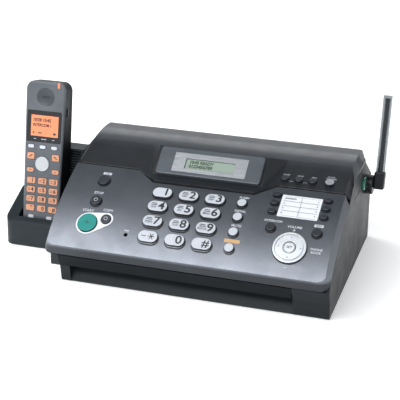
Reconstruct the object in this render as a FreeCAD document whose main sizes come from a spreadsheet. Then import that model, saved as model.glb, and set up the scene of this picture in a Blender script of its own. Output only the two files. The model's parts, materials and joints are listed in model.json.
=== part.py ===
import FreeCAD, Part
import math
import os

V = FreeCAD.Vector
UP = V(0, 0, 1)
ALONG = V(1, 0, 0)

doc = FreeCAD.newDocument("fax_machine")
sheet = doc.addObject("Spreadsheet::Sheet", "dims")

# Driving dimensions in millimetres and degrees.  They are written in the body frame: x runs
# to the right from the middle of the main body, y runs back from the cabinet's front foot
# line and z up from the table.  shift_x and shift_y move everything to the part frame,
# whose origin is the middle of the whole outline on the table.
DIMENSIONS = [
    ("shift_x", 30.6), ("shift_y", -93.41),
    # cabinet
    ("body_half", 145.0), ("body_back", 199.0), ("rear_top", 74.5), ("foot_gap", 0.8),
    ("wall", 3.0), ("floor", 2.5), ("shoulder_y", 158.0), ("shoulder_z", 102.6),
    ("paper_left", -118.0), ("paper_right", 107.0), ("slot_top", 24.5),
    ("recess_left", -121.0), ("recess_right", 109.0),
    ("band_left", -131.0), ("band_right", 108.0), ("band_low", 18.3), ("band_high", 31.4),
    ("undercut_x", -131.5), ("undercut_z", 17.5), ("undercut_back", 50.0),
    # operation panel, an arc from its front edge to its back edge
    ("panel_front_y", -12.7), ("panel_front_z", 44.8), ("panel_back_y", 73.7),
    ("panel_back_z", 98.8), ("panel_crown", 6.0), ("panel_rim_half", 141.0),
    ("panel_depth", 10.4), ("cover_wall", 2.5), ("skirt_y", -7.3), ("skirt_z", 32.4),
    ("corner_low_left", 7.0), ("corner_low_right", 12.0),
    ("seam", 2.6), ("side_seam", 1.0),
    # top cover
    ("cover_rim_half", 139.5), ("crease_y", 117.0), ("crease_z", 111.2),
    ("ridge_crown", 2.0), ("pivot_y", 160.0), ("pivot_z", 103.5), ("nose_radius", 10.5),
    ("front_pivot_y", 82.0), ("front_pivot_z", 93.0), ("hinge_radius", 2.0),
    ("running_gap", 0.05),
    # display
    ("tongue_front_y", 61.8), ("tongue_half", 52.0), ("tongue_root_half", 72.0),
    ("display_y", 69.44), ("display_z", 97.08), ("display_tilt", 37.0),
    ("bezel_half", 55.0), ("bezel_low", 2.4), ("bezel_high", 34.6), ("bezel_thick", 2.4),
    ("plate_half", 38.7), ("plate_low", 6.6), ("plate_high", 29.2), ("plate_thick", 0.9),
    ("glass_half", 26.0), ("glass_low", 10.8), ("glass_high", 23.2),
    # panel keys
    ("key_pitch", 27.4), ("key_left", -38.2), ("key_row_first", 21.9), ("key_row_pitch", 17.46),
    ("key_width", 20.0), ("key_height", 12.2), ("key_round", 5.9), ("key_proud", 2.0),
    ("key_gap", 0.35), ("key_skirt", 3.3), ("key_flange", 1.0),
    ("start_radius", 10.0), ("set_radius", 6.0), ("ring_radius", 16.5), ("ring_bore", 6.4),
    ("small_key_radius", 4.65), ("stop_radius", 5.65), ("locator_radius", 6.1),
    ("copy_radius", 5.1), ("recorder_radius", 3.8), ("answer_radius", 4.4),
    ("card_left", 81.0), ("card_right", 121.0), ("card_low", 64.6), ("card_high", 93.0),
    ("card_recess", 1.0),
    # release button and antenna
    ("release_y", 148.4), ("release_z", 82.4), ("release_long", 14.6), ("release_tall", 12.6),
    ("release_round", 5.6), ("release_proud", 3.0),
    ("antenna_y", 166.4), ("antenna_z", 74.8), ("antenna_lean", 14.5),
    ("antenna_disc", 10.1), ("antenna_disc_thick", 8.2), ("elbow_thick", 11.0),
    ("elbow_low", 3.9), ("elbow_high", 14.7), ("sleeve_radius", 4.7), ("sleeve_length", 79.5),
    ("rod_radius", 2.4),
    # handset and its cradle
    ("handset_x", -188.4), ("handset_y", 74.0), ("handset_z", 28.0), ("handset_lean", 13.0),
    ("handset_low", -12.0), ("handset_high", 147.8), ("handset_half_low", 20.7),
    ("handset_half_high", 22.7), ("handset_thick", 24.5), ("handset_thin", 17.5),
    ("handset_split", 12.0), ("handset_wall", 2.0), ("cradle_left", -225.6),
    ("cradle_front", 60.0), ("cradle_rim_z", 25.0), ("cradle_top_z", 93.0),
    ("housing_left", -213.0), ("pocket_gap", 1.5), ("pocket_floor", -12.3),
    # paper path and drive
    ("roll_y", 124.0), ("roll_z", 42.0), ("roll_radius", 22.0),
    ("roll_width", 216.0), ("paper_centre", -5.5),
    ("platen_y", 98.0), ("platen_z", 70.0), ("platen_radius", 8.0), ("shaft_radius", 3.0),
    ("pinch_y", 135.0), ("pinch_z", 103.2), ("pinch_radius", 4.3),
    ("idler_y", 109.4), ("idler_z", 48.9), ("pinion_y", 93.0), ("pinion_z", 41.6),
    ("pinion_teeth", 8.0), ("idler_teeth", 28.0), ("platen_teeth", 20.0),
    ("gear_module", 1.0), ("gear_x", 112.0), ("gear_face", 6.0), ("frame_thick", 2.0),
]
for row, (alias, value) in enumerate(DIMENSIONS, start=1):
    cell = "B%d" % row
    sheet.set("A%d" % row, alias)
    sheet.set(cell, str(value))
    sheet.setAlias(cell, alias)
doc.recompute()


def dim(alias):
    return float(sheet.get(alias))


PARTS = []


# ---------------------------------------------------------------- placing and building
def finish(obj, label, at=(0.0, 0.0, 0.0), tilt=0.0):
    """Name a sub-part, and bind its place to the sheet's shift of the whole object."""
    obj.Label = label
    obj.Placement = FreeCAD.Placement(V(*at), FreeCAD.Rotation(ALONG, tilt))
    obj.setExpression("Placement.Base.x", "dims.shift_x + (%.4f)" % at[0])
    obj.setExpression("Placement.Base.y", "dims.shift_y + (%.4f)" % at[1])
    obj.setExpression("Placement.Base.z", "%.4f" % at[2])
    PARTS.append(obj)
    return obj


def local(obj, at=(0.0, 0.0, 0.0), tilt=0.0):
    """Place a building solid that is used up by a boolean."""
    obj.Placement = FreeCAD.Placement(V(*at), FreeCAD.Rotation(ALONG, tilt))
    return obj


def origin_plane(body, role):
    for feature in body.Origin.OriginFeatures:
        if feature.Role == role:
            return feature
    raise ValueError(role)


def sketch_on(body, role, edges, offset=0.0):
    sketch = body.newObject("Sketcher::SketchObject", body.Name + "_sketch")
    sketch.AttachmentSupport = (origin_plane(body, role), [""])
    sketch.MapMode = "FlatFace"
    sketch.AttachmentOffset = FreeCAD.Placement(V(0, 0, offset), FreeCAD.Rotation())
    for edge in edges:
        sketch.addGeometry(edge, False)
    return sketch


def pad_on(body, sketch, length, midplane=False, down=False):
    pad = body.newObject("PartDesign::Pad", body.Name + "_pad")
    pad.Profile = sketch
    pad.Midplane = midplane
    pad.Reversed = down
    if isinstance(length, str):
        pad.setExpression("Length", length)
    else:
        pad.Length = length
    return pad


def line(a, b):
    return Part.LineSegment(V(a[0], a[1], 0), V(b[0], b[1], 0))


def arc(a, middle, b):
    return Part.Arc(V(a[0], a[1], 0), V(middle[0], middle[1], 0), V(b[0], b[1], 0))


def polygon(points):
    return [line(a, b) for a, b in zip(points, points[1:] + points[:1])]


def rounded(left, low, right, high, radius):
    """Sketch edges of a rectangle with four round corners."""
    edges = []
    turns = [(right - radius, low + radius, -90.0), (right - radius, high - radius, 0.0),
             (left + radius, high - radius, 90.0), (left + radius, low + radius, 180.0)]
    ends = []
    for cx, cy, start in turns:
        spots = []
        for angle in (start, start + 45.0, start + 90.0):
            a = math.radians(angle)
            spots.append((cx + radius * math.cos(a), cy + radius * math.sin(a)))
        edges.append(arc(*spots))
        ends.append((spots[0], spots[2]))
    for index in range(4):
        edges.append(line(ends[index][1], ends[(index + 1) % 4][0]))
    return edges


def circle(cx, cy, radius):
    return [Part.Circle(V(cx, cy, 0), UP, radius)]


def profile_body(name, edges, left, right):
    """A body with a constant section in the y-z plane, from x = left to x = right."""
    body = doc.addObject("PartDesign::Body", name)
    sketch = sketch_on(body, "YZ_Plane", edges, left)
    pad_on(body, sketch, right - left)
    return body


def plate_body(name, edges, low, length):
    """A body with a constant outline in its own x-y plane, upward from z = low."""
    body = doc.addObject("PartDesign::Body", name)
    sketch = sketch_on(body, "XY_Plane", edges, low)
    pad_on(body, sketch, length)
    return body


def block(name, x0, x1, y0, y1, z0, z1):
    box = doc.addObject("Part::Box", name)
    box.Length, box.Width, box.Height = x1 - x0, y1 - y0, z1 - z0
    box.Placement.Base = V(x0, y0, z0)
    return box


def cylinder_x(name, x0, x1, y, z, radius):
    tube = doc.addObject("Part::Cylinder", name)
    tube.Height = x1 - x0
    if isinstance(radius, str):
        tube.setExpression("Radius", radius)
    else:
        tube.Radius = radius
    tube.Placement = FreeCAD.Placement(V(x0, y, z), FreeCAD.Rotation(V(0, 1, 0), 90))
    return tube


def cut(name, base, tools):
    tool = tools[0] if len(tools) == 1 else fuse(name + "_tools", tools)
    result = doc.addObject("Part::Cut", name)
    result.Base, result.Tool = base, tool
    return result


def fuse(name, parts):
    if len(parts) == 1:
        return parts[0]
    result = doc.addObject("Part::MultiFuse", name)
    result.Shapes = parts
    return result


def common(name, first, second):
    result = doc.addObject("Part::Common", name)
    result.Base, result.Tool = first, second
    return result


def group(name, parts):
    """Separate solids that share one node."""
    result = doc.addObject("Part::Compound", name)
    result.Links = parts
    return result


def soft_edges(name, base, radius, keep):
    """Round the edges of a solid that keep(edge) picks."""
    doc.recompute()
    picked = []
    for index, edge in enumerate(base.Shape.Edges, start=1):
        if keep(edge):
            picked.append((index, radius, radius))
    result = doc.addObject("Part::Fillet", name)
    result.Base = base
    result.Edges = picked
    return result


# ---------------------------------------------------------------- the panel's arc
class Panel:
    """The operation panel's curve: s is the distance along it from the front edge."""

    def __init__(self):
        y0, z0 = dim("panel_front_y"), dim("panel_front_z")
        y1, z1 = dim("panel_back_y"), dim("panel_back_z")
        chord = math.hypot(y1 - y0, z1 - z0)
        crown = dim("panel_crown")
        self.radius = (chord ** 2 / 4 + crown ** 2) / (2 * crown)
        self.t = ((y1 - y0) / chord, (z1 - z0) / chord)
        self.n = (-self.t[1], self.t[0])
        self.half = math.asin(chord / 2 / self.radius)
        reach = self.radius - crown
        self.cy = (y0 + y1) / 2 - self.n[0] * reach
        self.cz = (z0 + z1) / 2 - self.n[1] * reach
        self.length = 2 * self.half * self.radius

    def normal(self, s):
        a = s / self.radius - self.half
        return (self.n[0] * math.cos(a) + self.t[0] * math.sin(a),
                self.n[1] * math.cos(a) + self.t[1] * math.sin(a))

    def point(self, s, depth=0.0):
        ny, nz = self.normal(s)
        return (self.cy + ny * (self.radius - depth), self.cz + nz * (self.radius - depth))

    def tilt(self, s):
        ny, nz = self.normal(s)
        return math.degrees(math.atan2(-ny, nz))

    def curve(self, s0, s1, depth=0.0):
        return arc(self.point(s0, depth), self.point((s0 + s1) / 2, depth),
                   self.point(s1, depth))


panel = Panel()
BAND_RISE = ((dim("crease_z") - dim("panel_back_z"))
             / (dim("crease_y") - dim("panel_back_y")))
BAND_TILT = math.degrees(math.atan(BAND_RISE))


def band_point(y, depth=0.0):
    """A point on the flat band of the top cover, or that far below it."""
    a = math.radians(BAND_TILT)
    z = dim("panel_back_z") + (y - dim("panel_back_y")) * BAND_RISE
    return (y + depth * math.sin(a), z - depth * math.cos(a))


# ---------------------------------------------------------------- cabinet
def side_outline(drop):
    """The cabinet's outer side: its top edge lies drop below the panel's surface."""
    low = dim("foot_gap")
    front = panel.point(0.5, drop)
    back = panel.point(panel.length - 1.0, drop)
    points_low = [(0.0, low), (-2.0, dim("band_low") - 0.5), (-7.0, dim("band_high"))]
    rest = [(92.4, 101.0), (dim("shoulder_y"), dim("shoulder_z")),
            (dim("body_back"), dim("rear_top")), (dim("body_back"), low)]
    edges = [line(points_low[0], points_low[1]), line(points_low[1], points_low[2])]
    edges.append(line(points_low[2], front))
    edges.append(panel.curve(0.5, panel.length - 1.0, drop))
    edges.append(line(back, rest[0]))
    for a, b in zip(rest, rest[1:] + [points_low[0]]):
        edges.append(line(a, b))
    return edges


def floor_top():
    return dim("foot_gap") + dim("floor")


def cabinet_cutters():
    """Everything that is taken out of the cabinet's block."""
    half, wall, low = dim("body_half"), dim("wall"), dim("foot_gap")
    back = dim("body_back") - wall
    tools = [profile_body("cabinet_upper_space", polygon([
        (3.0, 24.5), (back, 24.5), (back, 71.5), (155.0, 98.0), (155.0, 130.0),
        (-30.0, 130.0), (-30.0, 32.2), (3.0, 32.2)]), -half + wall, half - wall)]
    tools.append(block("cabinet_nose_space", -half + wall, half - wall, 148.0, 172.3,
                       92.2, 130.0))
    tools.append(block("cabinet_rear_space", -130.0, 130.0, 150.0, back, 60.0, 130.0))
    tools.append(block("cabinet_lower_space", -128.0, half - wall, 17.0, back, floor_top(),
                       25.0))
    slot_top = dim("slot_top") + 0.2
    tools.append(profile_body("cabinet_recess", polygon([
        (-20.0, 0.0), (0.2, 0.0), (0.2, low), (11.0, 17.5), (18.0, 17.5), (18.0, slot_top),
        (-20.0, slot_top)]), dim("recess_left"), dim("recess_right")))
    tools.append(block("cabinet_band_space", dim("band_left") - 0.3, dim("band_right") + 0.3,
                       -20.0, 3.0, dim("band_low") - 0.3, 60.0))
    tools.append(block("cabinet_undercut", -half - 5, dim("undercut_x"), -20.0,
                       dim("undercut_back"), 0.0, dim("undercut_z")))
    tools.append(left_corner())
    tools.append(release_hole())
    tools.append(side_groove())
    return tools


def left_corner():
    """The rounded upright corner at the cabinet's left front."""
    out = -dim("body_half")
    edges = [arc((-134.5, -7.5), (-139.8, -5.0), (-141.2, 2.0)),
             line((-141.2, 2.0), (out - 0.01, 34.0)), line((out - 0.01, 34.0), (-152.0, 34.0)),
             line((-152.0, 34.0), (-152.0, -20.0)), line((-152.0, -20.0), (-134.5, -20.0)),
             line((-134.5, -20.0), (-134.5, -7.5))]
    return plate_body("cabinet_left_corner", edges, -1.0, 47.0)


BOARD_POSTS = [(-90.0, 34.0), (90.0, 34.0), (-90.0, 88.0), (90.0, 88.0)]


SCREWS = [(-101.5, 60.0), (101.5, 60.0), (-101.5, 150.0), (101.5, 150.0)]


def upright(name, x, y, low, high, radius):
    """A round post between two heights."""
    post = doc.addObject("Part::Cylinder", name)
    post.Radius, post.Height = radius, high - low
    post.Placement.Base = V(x, y, low)
    return post


def hinge_bracket(side, y, z, foot_z):
    """An arm from the cabinet's side wall that ends in an eye for a cover's pivot."""
    wall = dim("body_half") - dim("wall") + 0.01
    x0, x1 = sorted((side * 129.0, side * wall))
    u0, u1 = sorted((side * 129.0, side * 133.2))
    foot = block("bracket_foot", x0, x1, y - 2.5, y + 4.0, foot_z, foot_z + 8.0)
    post = block("bracket_post", u0, u1, y - 4.0, y + 1.5, foot_z + 7.0, z)
    eye = cylinder_x("bracket_eye", u0, u1, y, z, 4.0)
    return [foot, post, eye]


def pivot_pins(y, z):
    """The two pins, one a side, on which a cover turns in its brackets."""
    pins = []
    for x0, x1 in ((-134.0, -129.2), (129.2, 134.0)):
        pins.append(cylinder_x("pivot_pin", x0, x1, y, z, "dims.hinge_radius * 1 mm"))
    return pins


def lower_cabinet():
    half = dim("body_half")
    drop = dim("panel_depth") + dim("side_seam")
    solid = profile_body("cabinet_block", side_outline(drop), -half, half)
    shell = cut("cabinet_shell", solid, cabinet_cutters() + rear_cutouts())
    pivots = [(dim("front_pivot_y"), dim("front_pivot_z"), 62.0),
              (dim("pivot_y"), dim("pivot_z"), 76.0)]
    added = [upright("board_post", x, y, floor_top() - 0.01, 9.0, 3.0)
             for x, y in BOARD_POSTS]
    added += [upright("screw_boss", x, y, floor_top() - 0.01, 16.0, 5.0) for x, y in SCREWS]
    for y, z, foot_z in pivots:
        added += hinge_bracket(-1.0, y, z, foot_z) + hinge_bracket(1.0, y, z, foot_z)
    whole = fuse("cabinet_solid", [shell] + added)
    holes = [upright("screw_seat", x, y, -1.0, 3.0, 3.6) for x, y in SCREWS]
    holes += [upright("screw_bore", x, y, 2.9, 13.0, 1.5) for x, y in SCREWS]
    for y, z, foot_z in pivots:
        for x in (-134.0, 128.0):
            holes.append(cylinder_x("bracket_bore", x, x + 6.0, y, z,
                                    "(dims.hinge_radius + dims.running_gap) * 1 mm"))
    return finish(cut("lower_cabinet", whole, holes), "lower_cabinet")


def rear_cutouts():
    """Openings in the rear wall for the two line sockets and the power inlet."""
    back = dim("body_back")
    cuts = []
    for x, wide, tall in SOCKETS:
        cuts.append(block("socket_cut", x - wide / 2, x + wide / 2, back - 10.0, back + 5.0,
                          12.0, 12.0 + tall))
    return cuts


def release_outline(grow):
    wide, tall = dim("release_long") / 2 + grow, dim("release_tall") / 2 + grow
    return rounded(-wide, -tall, wide, tall, dim("release_round") + grow)


def release_slab(name, grow, x0, x1):
    slab = profile_body(name, release_outline(grow), x0, x1)
    return local(slab, (0.0, dim("release_y"), dim("release_z")))


SOCKETS = [(-96.0, 16.0, 15.0), (-74.0, 16.0, 15.0), (96.0, 22.0, 16.0)]


def release_hole():
    half = dim("body_half")
    return release_slab("release_hole", 0.35, half - 8.0, half + 5.0)


def side_groove():
    """A short moulded line on the right wall."""
    return block("side_groove", dim("body_half") - 0.6, dim("body_half") + 2.0,
                 106.0, 131.0, 81.4, 82.4)


def exit_band():
    low, high = dim("band_low"), dim("band_high")
    edges = polygon([(-2.0, low), (-7.0, high), (-3.6, high), (0.2, low + 4.0),
                     (3.0, low + 4.0), (3.0, low)])
    return finish(profile_body("exit_band", edges, dim("band_left"), dim("band_right")),
                  "exit_band")


def rubber_feet():
    feet = []
    for x, y in ((-118.0, 26.0), (132.0, 12.0), (-118.0, 184.0), (132.0, 184.0),
                 (-214.0, 80.0), (-214.0, 184.0)):
        foot = doc.addObject("Part::Cylinder", "foot")
        foot.Radius = 5.5
        foot.setExpression("Height", "dims.foot_gap")
        foot.Placement.Base = V(x, y, 0.0)
        feet.append(foot)
    return finish(group("rubber_feet", feet), "rubber_feet")


def case_screws():
    """Self-tapping screws under the cabinet: a head and a shank each."""
    screws = []
    for x, y in SCREWS:
        shank = upright("screw_shank", x, y, 2.9, 12.5, 1.5)
        head = upright("screw_head", x, y, 1.4, 3.0, 3.0)
        screws.append(fuse("screw", [shank, head]))
    return finish(group("case_screws", screws), "case_screws")


def side_frames():
    """The two inner plates that carry the head, the rollers and the drive."""
    thick = dim("frame_thick")
    plates = []
    for x in (dim("paper_left") - 3.0, dim("paper_right") + 1.5):
        outline = polygon([(24.0, floor_top()), (185.0, floor_top()), (185.0, 40.0),
                           (152.0, 60.0), (118.0, 66.0), (84.0, 66.0), (58.0, 60.0),
                           (40.0, 46.0), (24.0, 30.0)])
        plate = profile_body("frame_plate", outline, x, x + thick)
        notch = cylinder_x("frame_notch", x - 1, x + thick + 1, dim("platen_y"),
                           dim("platen_z"), dim("shaft_radius") + 3.0)
        idler = cylinder_x("frame_bore", x - 1, x + thick + 1, dim("idler_y"), dim("idler_z"),
                           "2 mm + dims.running_gap * 1 mm")
        roll = cylinder_x("frame_roll_bore", x - 1, x + thick + 1, dim("roll_y"),
                          dim("roll_z"), "4 mm + dims.running_gap * 1 mm")
        plates.append(cut("frame", plate, [notch, idler, roll]))
    return finish(group("side_frames", plates), "side_frames")


def thermal_head():
    """The heated bar under the platen, with a stiffening fin."""
    y, z = dim("platen_y"), dim("platen_z")
    top = z - dim("platen_radius") - 0.3
    left, right = dim("paper_left") + 1.5, dim("paper_right") - 1.0
    head = block("head_bar", left, right, y - 8.0, y + 7.0, top - 6.0, top)
    fin = block("head_fin", left, right, y - 3.0, y + 3.0, top - 12.0, top - 5.9)
    return finish(fuse("thermal_head", [head, fin]), "thermal_head")


def main_board():
    board = block("board", -95.0, 95.0, 30.0, 92.0, 9.0, 10.6)
    chips = [block("board_chip", x, x + 18.0, y, y + 18.0, 10.5, 13.0)
             for x, y in ((-70.0, 40.0), (-30.0, 45.0), (20.0, 40.0))]
    cans = [upright("board_can", x, 60.0, 10.5, 22.5, 5.0) for x in (60.0, 76.0)]
    return finish(fuse("main_board", [board] + chips + cans), "main_board")


def drive_motor():
    y, z = dim("pinion_y"), dim("pinion_z")
    wall = dim("body_half") - dim("wall")
    can = cylinder_x("motor_can", 120.0, wall, y, z, 12.0)
    flange = block("motor_flange", 119.0, 120.2, y - 12.0, y + 12.0, z - 17.0, z + 17.0)
    bore = cylinder_x("motor_bore", 118.0, 132.0, y, z, "1.5 mm + dims.running_gap * 1 mm")
    return finish(cut("drive_motor", fuse("motor_body", [can, flange]), [bore]), "drive_motor")


def rear_sockets():
    """Two telephone line sockets and the power inlet, pushed in from behind."""
    back = dim("body_back")
    parts = []
    for x, wide, tall in SOCKETS:
        shell = block("socket_shell", x - wide / 2, x + wide / 2, back - 14.0, back,
                      12.0, 12.0 + tall)
        hollow = block("socket_hollow", x - wide / 2 + 2.5, x + wide / 2 - 2.5, back - 12.0,
                       back + 1.0, 14.5, 12.0 + tall - 2.5)
        parts.append(cut("socket", shell, [hollow]))
    return finish(group("rear_sockets", parts), "rear_sockets")


def speaker():
    """Round loudspeaker behind the ribs of the cradle's housing."""
    rim = upright("speaker_rim", 0.0, 0.0, 0.0, 3.0, 10.0)
    magnet = upright("speaker_magnet", 0.0, 0.0, 2.9, 10.0, 6.5)
    y, z = grille_point(0.5, -GRILLE_WALL - 0.3)
    return finish(fuse("speaker", [rim, magnet]), "speaker", at=(-162.0, y, z),
                  tilt=-90.0 - math.degrees(math.atan2(GRILLE_RUN, GRILLE_RISE)))


# ---------------------------------------------------------------- rear deck and guides
DECK_SLOPE = -35.0
DECK_AT = (0.0, 167.0, 93.15)


def rear_deck():
    """The sloping plate behind the ridge on which originals are laid, with guide slots."""
    plate = plate_body("deck_plate", rounded(-130.0, 0.0, 130.0, 33.9, 2.0), 0.0, 2.0)
    slots = []
    for x0, x1 in ((-112.0, -40.0), (29.0, 101.0)):
        slots.append(block("deck_slot", x0, x1, 21.6, 24.8, -1.0, 3.0))
    return finish(cut("rear_deck", plate, slots), "rear_deck", at=DECK_AT, tilt=DECK_SLOPE)


def document_guide(label, x, sign):
    """A sliding paper guide: foot on the deck, upright fin, and a tongue through the slot."""
    foot = block("guide_foot", x - 9.0, x + 9.0, 16.6, 30.6, 2.2, 4.0)
    fin_x = x - 9.0 if sign < 0 else x + 7.0
    fin = block("guide_fin", fin_x, fin_x + 2.0, 14.6, 30.6, 3.9, 13.0)
    tongue = block("guide_tongue", x - 4.0, x + 4.0, 21.9, 24.5, -2.0, 2.3)
    return finish(fuse(label, [foot, fin, tongue]), label, at=DECK_AT, tilt=DECK_SLOPE)


# ---------------------------------------------------------------- top cover
def cover_section(x, points, floor_z):
    """One closed wire of the top cover's outside: front, crease, lid, nose and below."""
    a, b, mid, c, right, end = [V(x, y, z) for y, z in points]
    d, e = V(x, points[5][0], floor_z), V(x, points[0][0], floor_z)
    edges = [Part.LineSegment(a, b).toShape(), Part.Arc(b, mid, c).toShape(),
             Part.Arc(c, right, end).toShape(), Part.LineSegment(end, d).toShape(),
             Part.LineSegment(d, e).toShape(), Part.LineSegment(e, a).toShape()]
    return Part.Wire(edges)


def lid_points(inset):
    """The section's points at the rim of the cover, or inset below its surface."""
    start = band_point(dim("panel_back_y") + dim("seam"), inset)
    py, pz, r = dim("pivot_y"), dim("pivot_z"), dim("nose_radius") - inset
    crease = (dim("crease_y"), dim("crease_z") - inset)
    ridge = (py + 0.3, pz + r)
    mid = ((crease[0] + ridge[0]) / 2, (crease[1] + ridge[1]) / 2 + dim("ridge_crown"))
    k = math.sqrt(0.5)
    return [start, crease, mid, ridge, (py + k * r, pz + k * r), (py + r, pz)]


def ruled_solid(name, wires):
    """A solid ruled through the given closed sections."""
    feature = doc.addObject("Part::Feature", name)
    feature.Shape = Part.makeLoft(wires, True, True)
    return feature


def top_cover():
    half, rim, wall = dim("body_half"), dim("cover_rim_half"), dim("cover_wall")
    py, pz = dim("pivot_y"), dim("pivot_z")
    start = dim("panel_back_y") + dim("seam")
    edge = [(start, 93.6), (95.0, 102.7), (126.0, 104.5), (155.0, 104.7), (159.0, 104.3),
            (160.5, 103.4)]
    wires = [cover_section(x, points, 92.0) for x, points in (
        (-half, edge), (-rim, lid_points(0.0)), (rim, lid_points(0.0)), (half, edge))]
    outer = ruled_solid("cover_outer", wires)
    points = lid_points(wall)
    a, b, mid, c, right, end = points
    a = (a[0] + 0.9, band_point(a[0] + 0.2, wall)[1])
    hollow = profile_body("cover_hollow", [
        line(a, b), arc(b, mid, c), arc(c, right, end), line(end, (end[0], 80.0)),
        line((end[0], 80.0), (a[0], 80.0)), line((a[0], 80.0), a)], -rim + 2.0, rim - 2.0)
    tools = [hollow, block("cover_nose_trim", -half, half, 150.0, 190.0, 80.0, pz - 2.5)]
    for x0 in (-half - 2.0, dim("body_half") - 5.3):
        tools.append(profile_body("cover_side_clear", polygon([
            (70.0, 60.0), (70.0, 88.0), (76.0, 92.9), (92.4, 101.7), (158.0, 103.4),
            (184.0, 103.4), (184.0, 60.0)]), x0, x0 + 7.3))
    for x0 in (-half - 2.0, 141.6):
        tools.append(block("cover_corner_trim", x0, x0 + 5.4, 158.2, 190.0, 80.0, 130.0))
    for x0 in (-138.1, 132.6):
        tools.append(block("cover_arm_room", x0, x0 + 5.5, 72.0, 79.0, 80.0, 94.4))
    shell = cut("cover_shell", outer, tools)
    pod_inner = display_pod("pod_hollow", 2.4)
    joined = cut("cover_podded", fuse("cover_joined", [shell, tongue(), display_pod("pod", 0.0)]),
                 [pod_inner])
    holes = key_holes(TOP_KEYS, band_frame) + [display_hole()]
    ears = [cylinder_x("cover_ear", x, x + 4.1, py, pz, 5.0) for x in (-137.6, 133.5)]
    lid = fuse("top_cover", [cut("cover_cut", joined, holes)] + ears + pivot_pins(py, pz))
    return finish(lid, "top_cover")


def tongue():
    """The flat middle of the cover's front edge that lies in the panel's notch."""
    front = dim("tongue_front_y")
    root = dim("panel_back_y") + dim("seam") + 0.5
    section = profile_body("tongue_section", polygon([
        band_point(front), band_point(84.0), band_point(84.0, 2.4), band_point(front, 2.4)]),
        -90.0, 90.0)
    near, far = dim("tongue_half"), dim("tongue_root_half")
    outline = plate_body("tongue_outline", polygon([
        (-near, front), (near, front), (far, root - 2.0), (far + 2.0, root), (far + 2.0, 84.0),
        (-far - 2.0, 84.0), (-far - 2.0, root), (-far, root - 2.0)]), 80.0, 40.0)
    return common("tongue", section, outline)


def display_pod(name, inset):
    """The raised housing of the display: a wedge between the band and a tilted top."""
    low = 1.2 + inset
    side, rear = 58.5 - inset, 75.0 - inset
    front = dim("display_y") - 0.6 + inset
    base = [V(-side, *band_point(front, low)), V(side, *band_point(front, low)),
            V(rear, *band_point(118.5 - inset, low)), V(-rear, *band_point(118.5 - inset, low))]
    tilt = math.radians(dim("display_tilt"))
    top = []
    for x, along in ((-side, -0.6 + inset), (side, -0.6 + inset), (side, 36.0 - inset),
                     (-side, 36.0 - inset)):
        top.append(V(x, dim("display_y") + along * math.cos(tilt) + inset * math.sin(tilt),
                     dim("display_z") + along * math.sin(tilt) - inset * math.cos(tilt)))
    return ruled_solid(name, [Part.makePolygon(base + base[:1]),
                              Part.makePolygon(top + top[:1])])


def display_place():
    """Local frame on the housing: x across, y up its slope, z out of it."""
    return (0.0, dim("display_y"), dim("display_z"))


def display_hole():
    half = dim("glass_half") + 2.1
    hole = block("display_hole", -half, half, dim("glass_low") - 2.1, dim("glass_high") + 2.1,
                 -8.0, 8.0)
    turn = FreeCAD.Placement(V(*display_place()),
                             FreeCAD.Rotation(ALONG, dim("display_tilt")))
    hole.Placement = turn.multiply(hole.Placement)
    return hole


def display_bezel():
    half, thick = dim("bezel_half"), dim("bezel_thick")
    frame = plate_body("bezel_frame", rounded(-half, dim("bezel_low"), half,
                                              dim("bezel_high"), 3.2), 0.05, thick - 0.05)
    soft = soft_edges("bezel_soft", frame, 1.1, lambda e: all(
        abs(v.Z - thick) < 0.01 for v in e.Vertexes))
    wide = dim("plate_half")
    recess = block("bezel_recess", -wide, wide, dim("plate_low"), dim("plate_high"),
                   thick - 1.1, 6.0)
    wide = dim("glass_half") + 2.1
    hole = block("bezel_hole", -wide, wide, dim("glass_low") - 2.1, dim("glass_high") + 2.1,
                 -3.0, 3.0)
    return finish(cut("display_bezel", soft, [recess, hole]), "display_bezel",
                  at=display_place(), tilt=dim("display_tilt"))


def display_plate():
    wide, thick = dim("plate_half"), dim("bezel_thick")
    plate = plate_body("plate_sheet", rounded(-wide, dim("plate_low"), wide,
                                              dim("plate_high"), 0.4),
                       thick - 1.1, dim("plate_thick"))
    wide = dim("glass_half")
    window = block("plate_window", -wide, wide, dim("glass_low"), dim("glass_high"), 0.0, 5.0)
    return finish(cut("display_plate", plate, [window]), "display_plate",
                  at=display_place(), tilt=dim("display_tilt"))


def display_module():
    """The liquid-crystal cell that lies under the plate's window."""
    wide = dim("glass_half") + 2.0
    cell = block("cell_glass", -wide, wide, dim("glass_low") - 2.0,
                 dim("glass_high") + 2.0, -2.6, dim("bezel_thick") - 1.1)
    return finish(group("display_cell", [cell]), "display_module", at=display_place(),
                  tilt=dim("display_tilt"))


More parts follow.
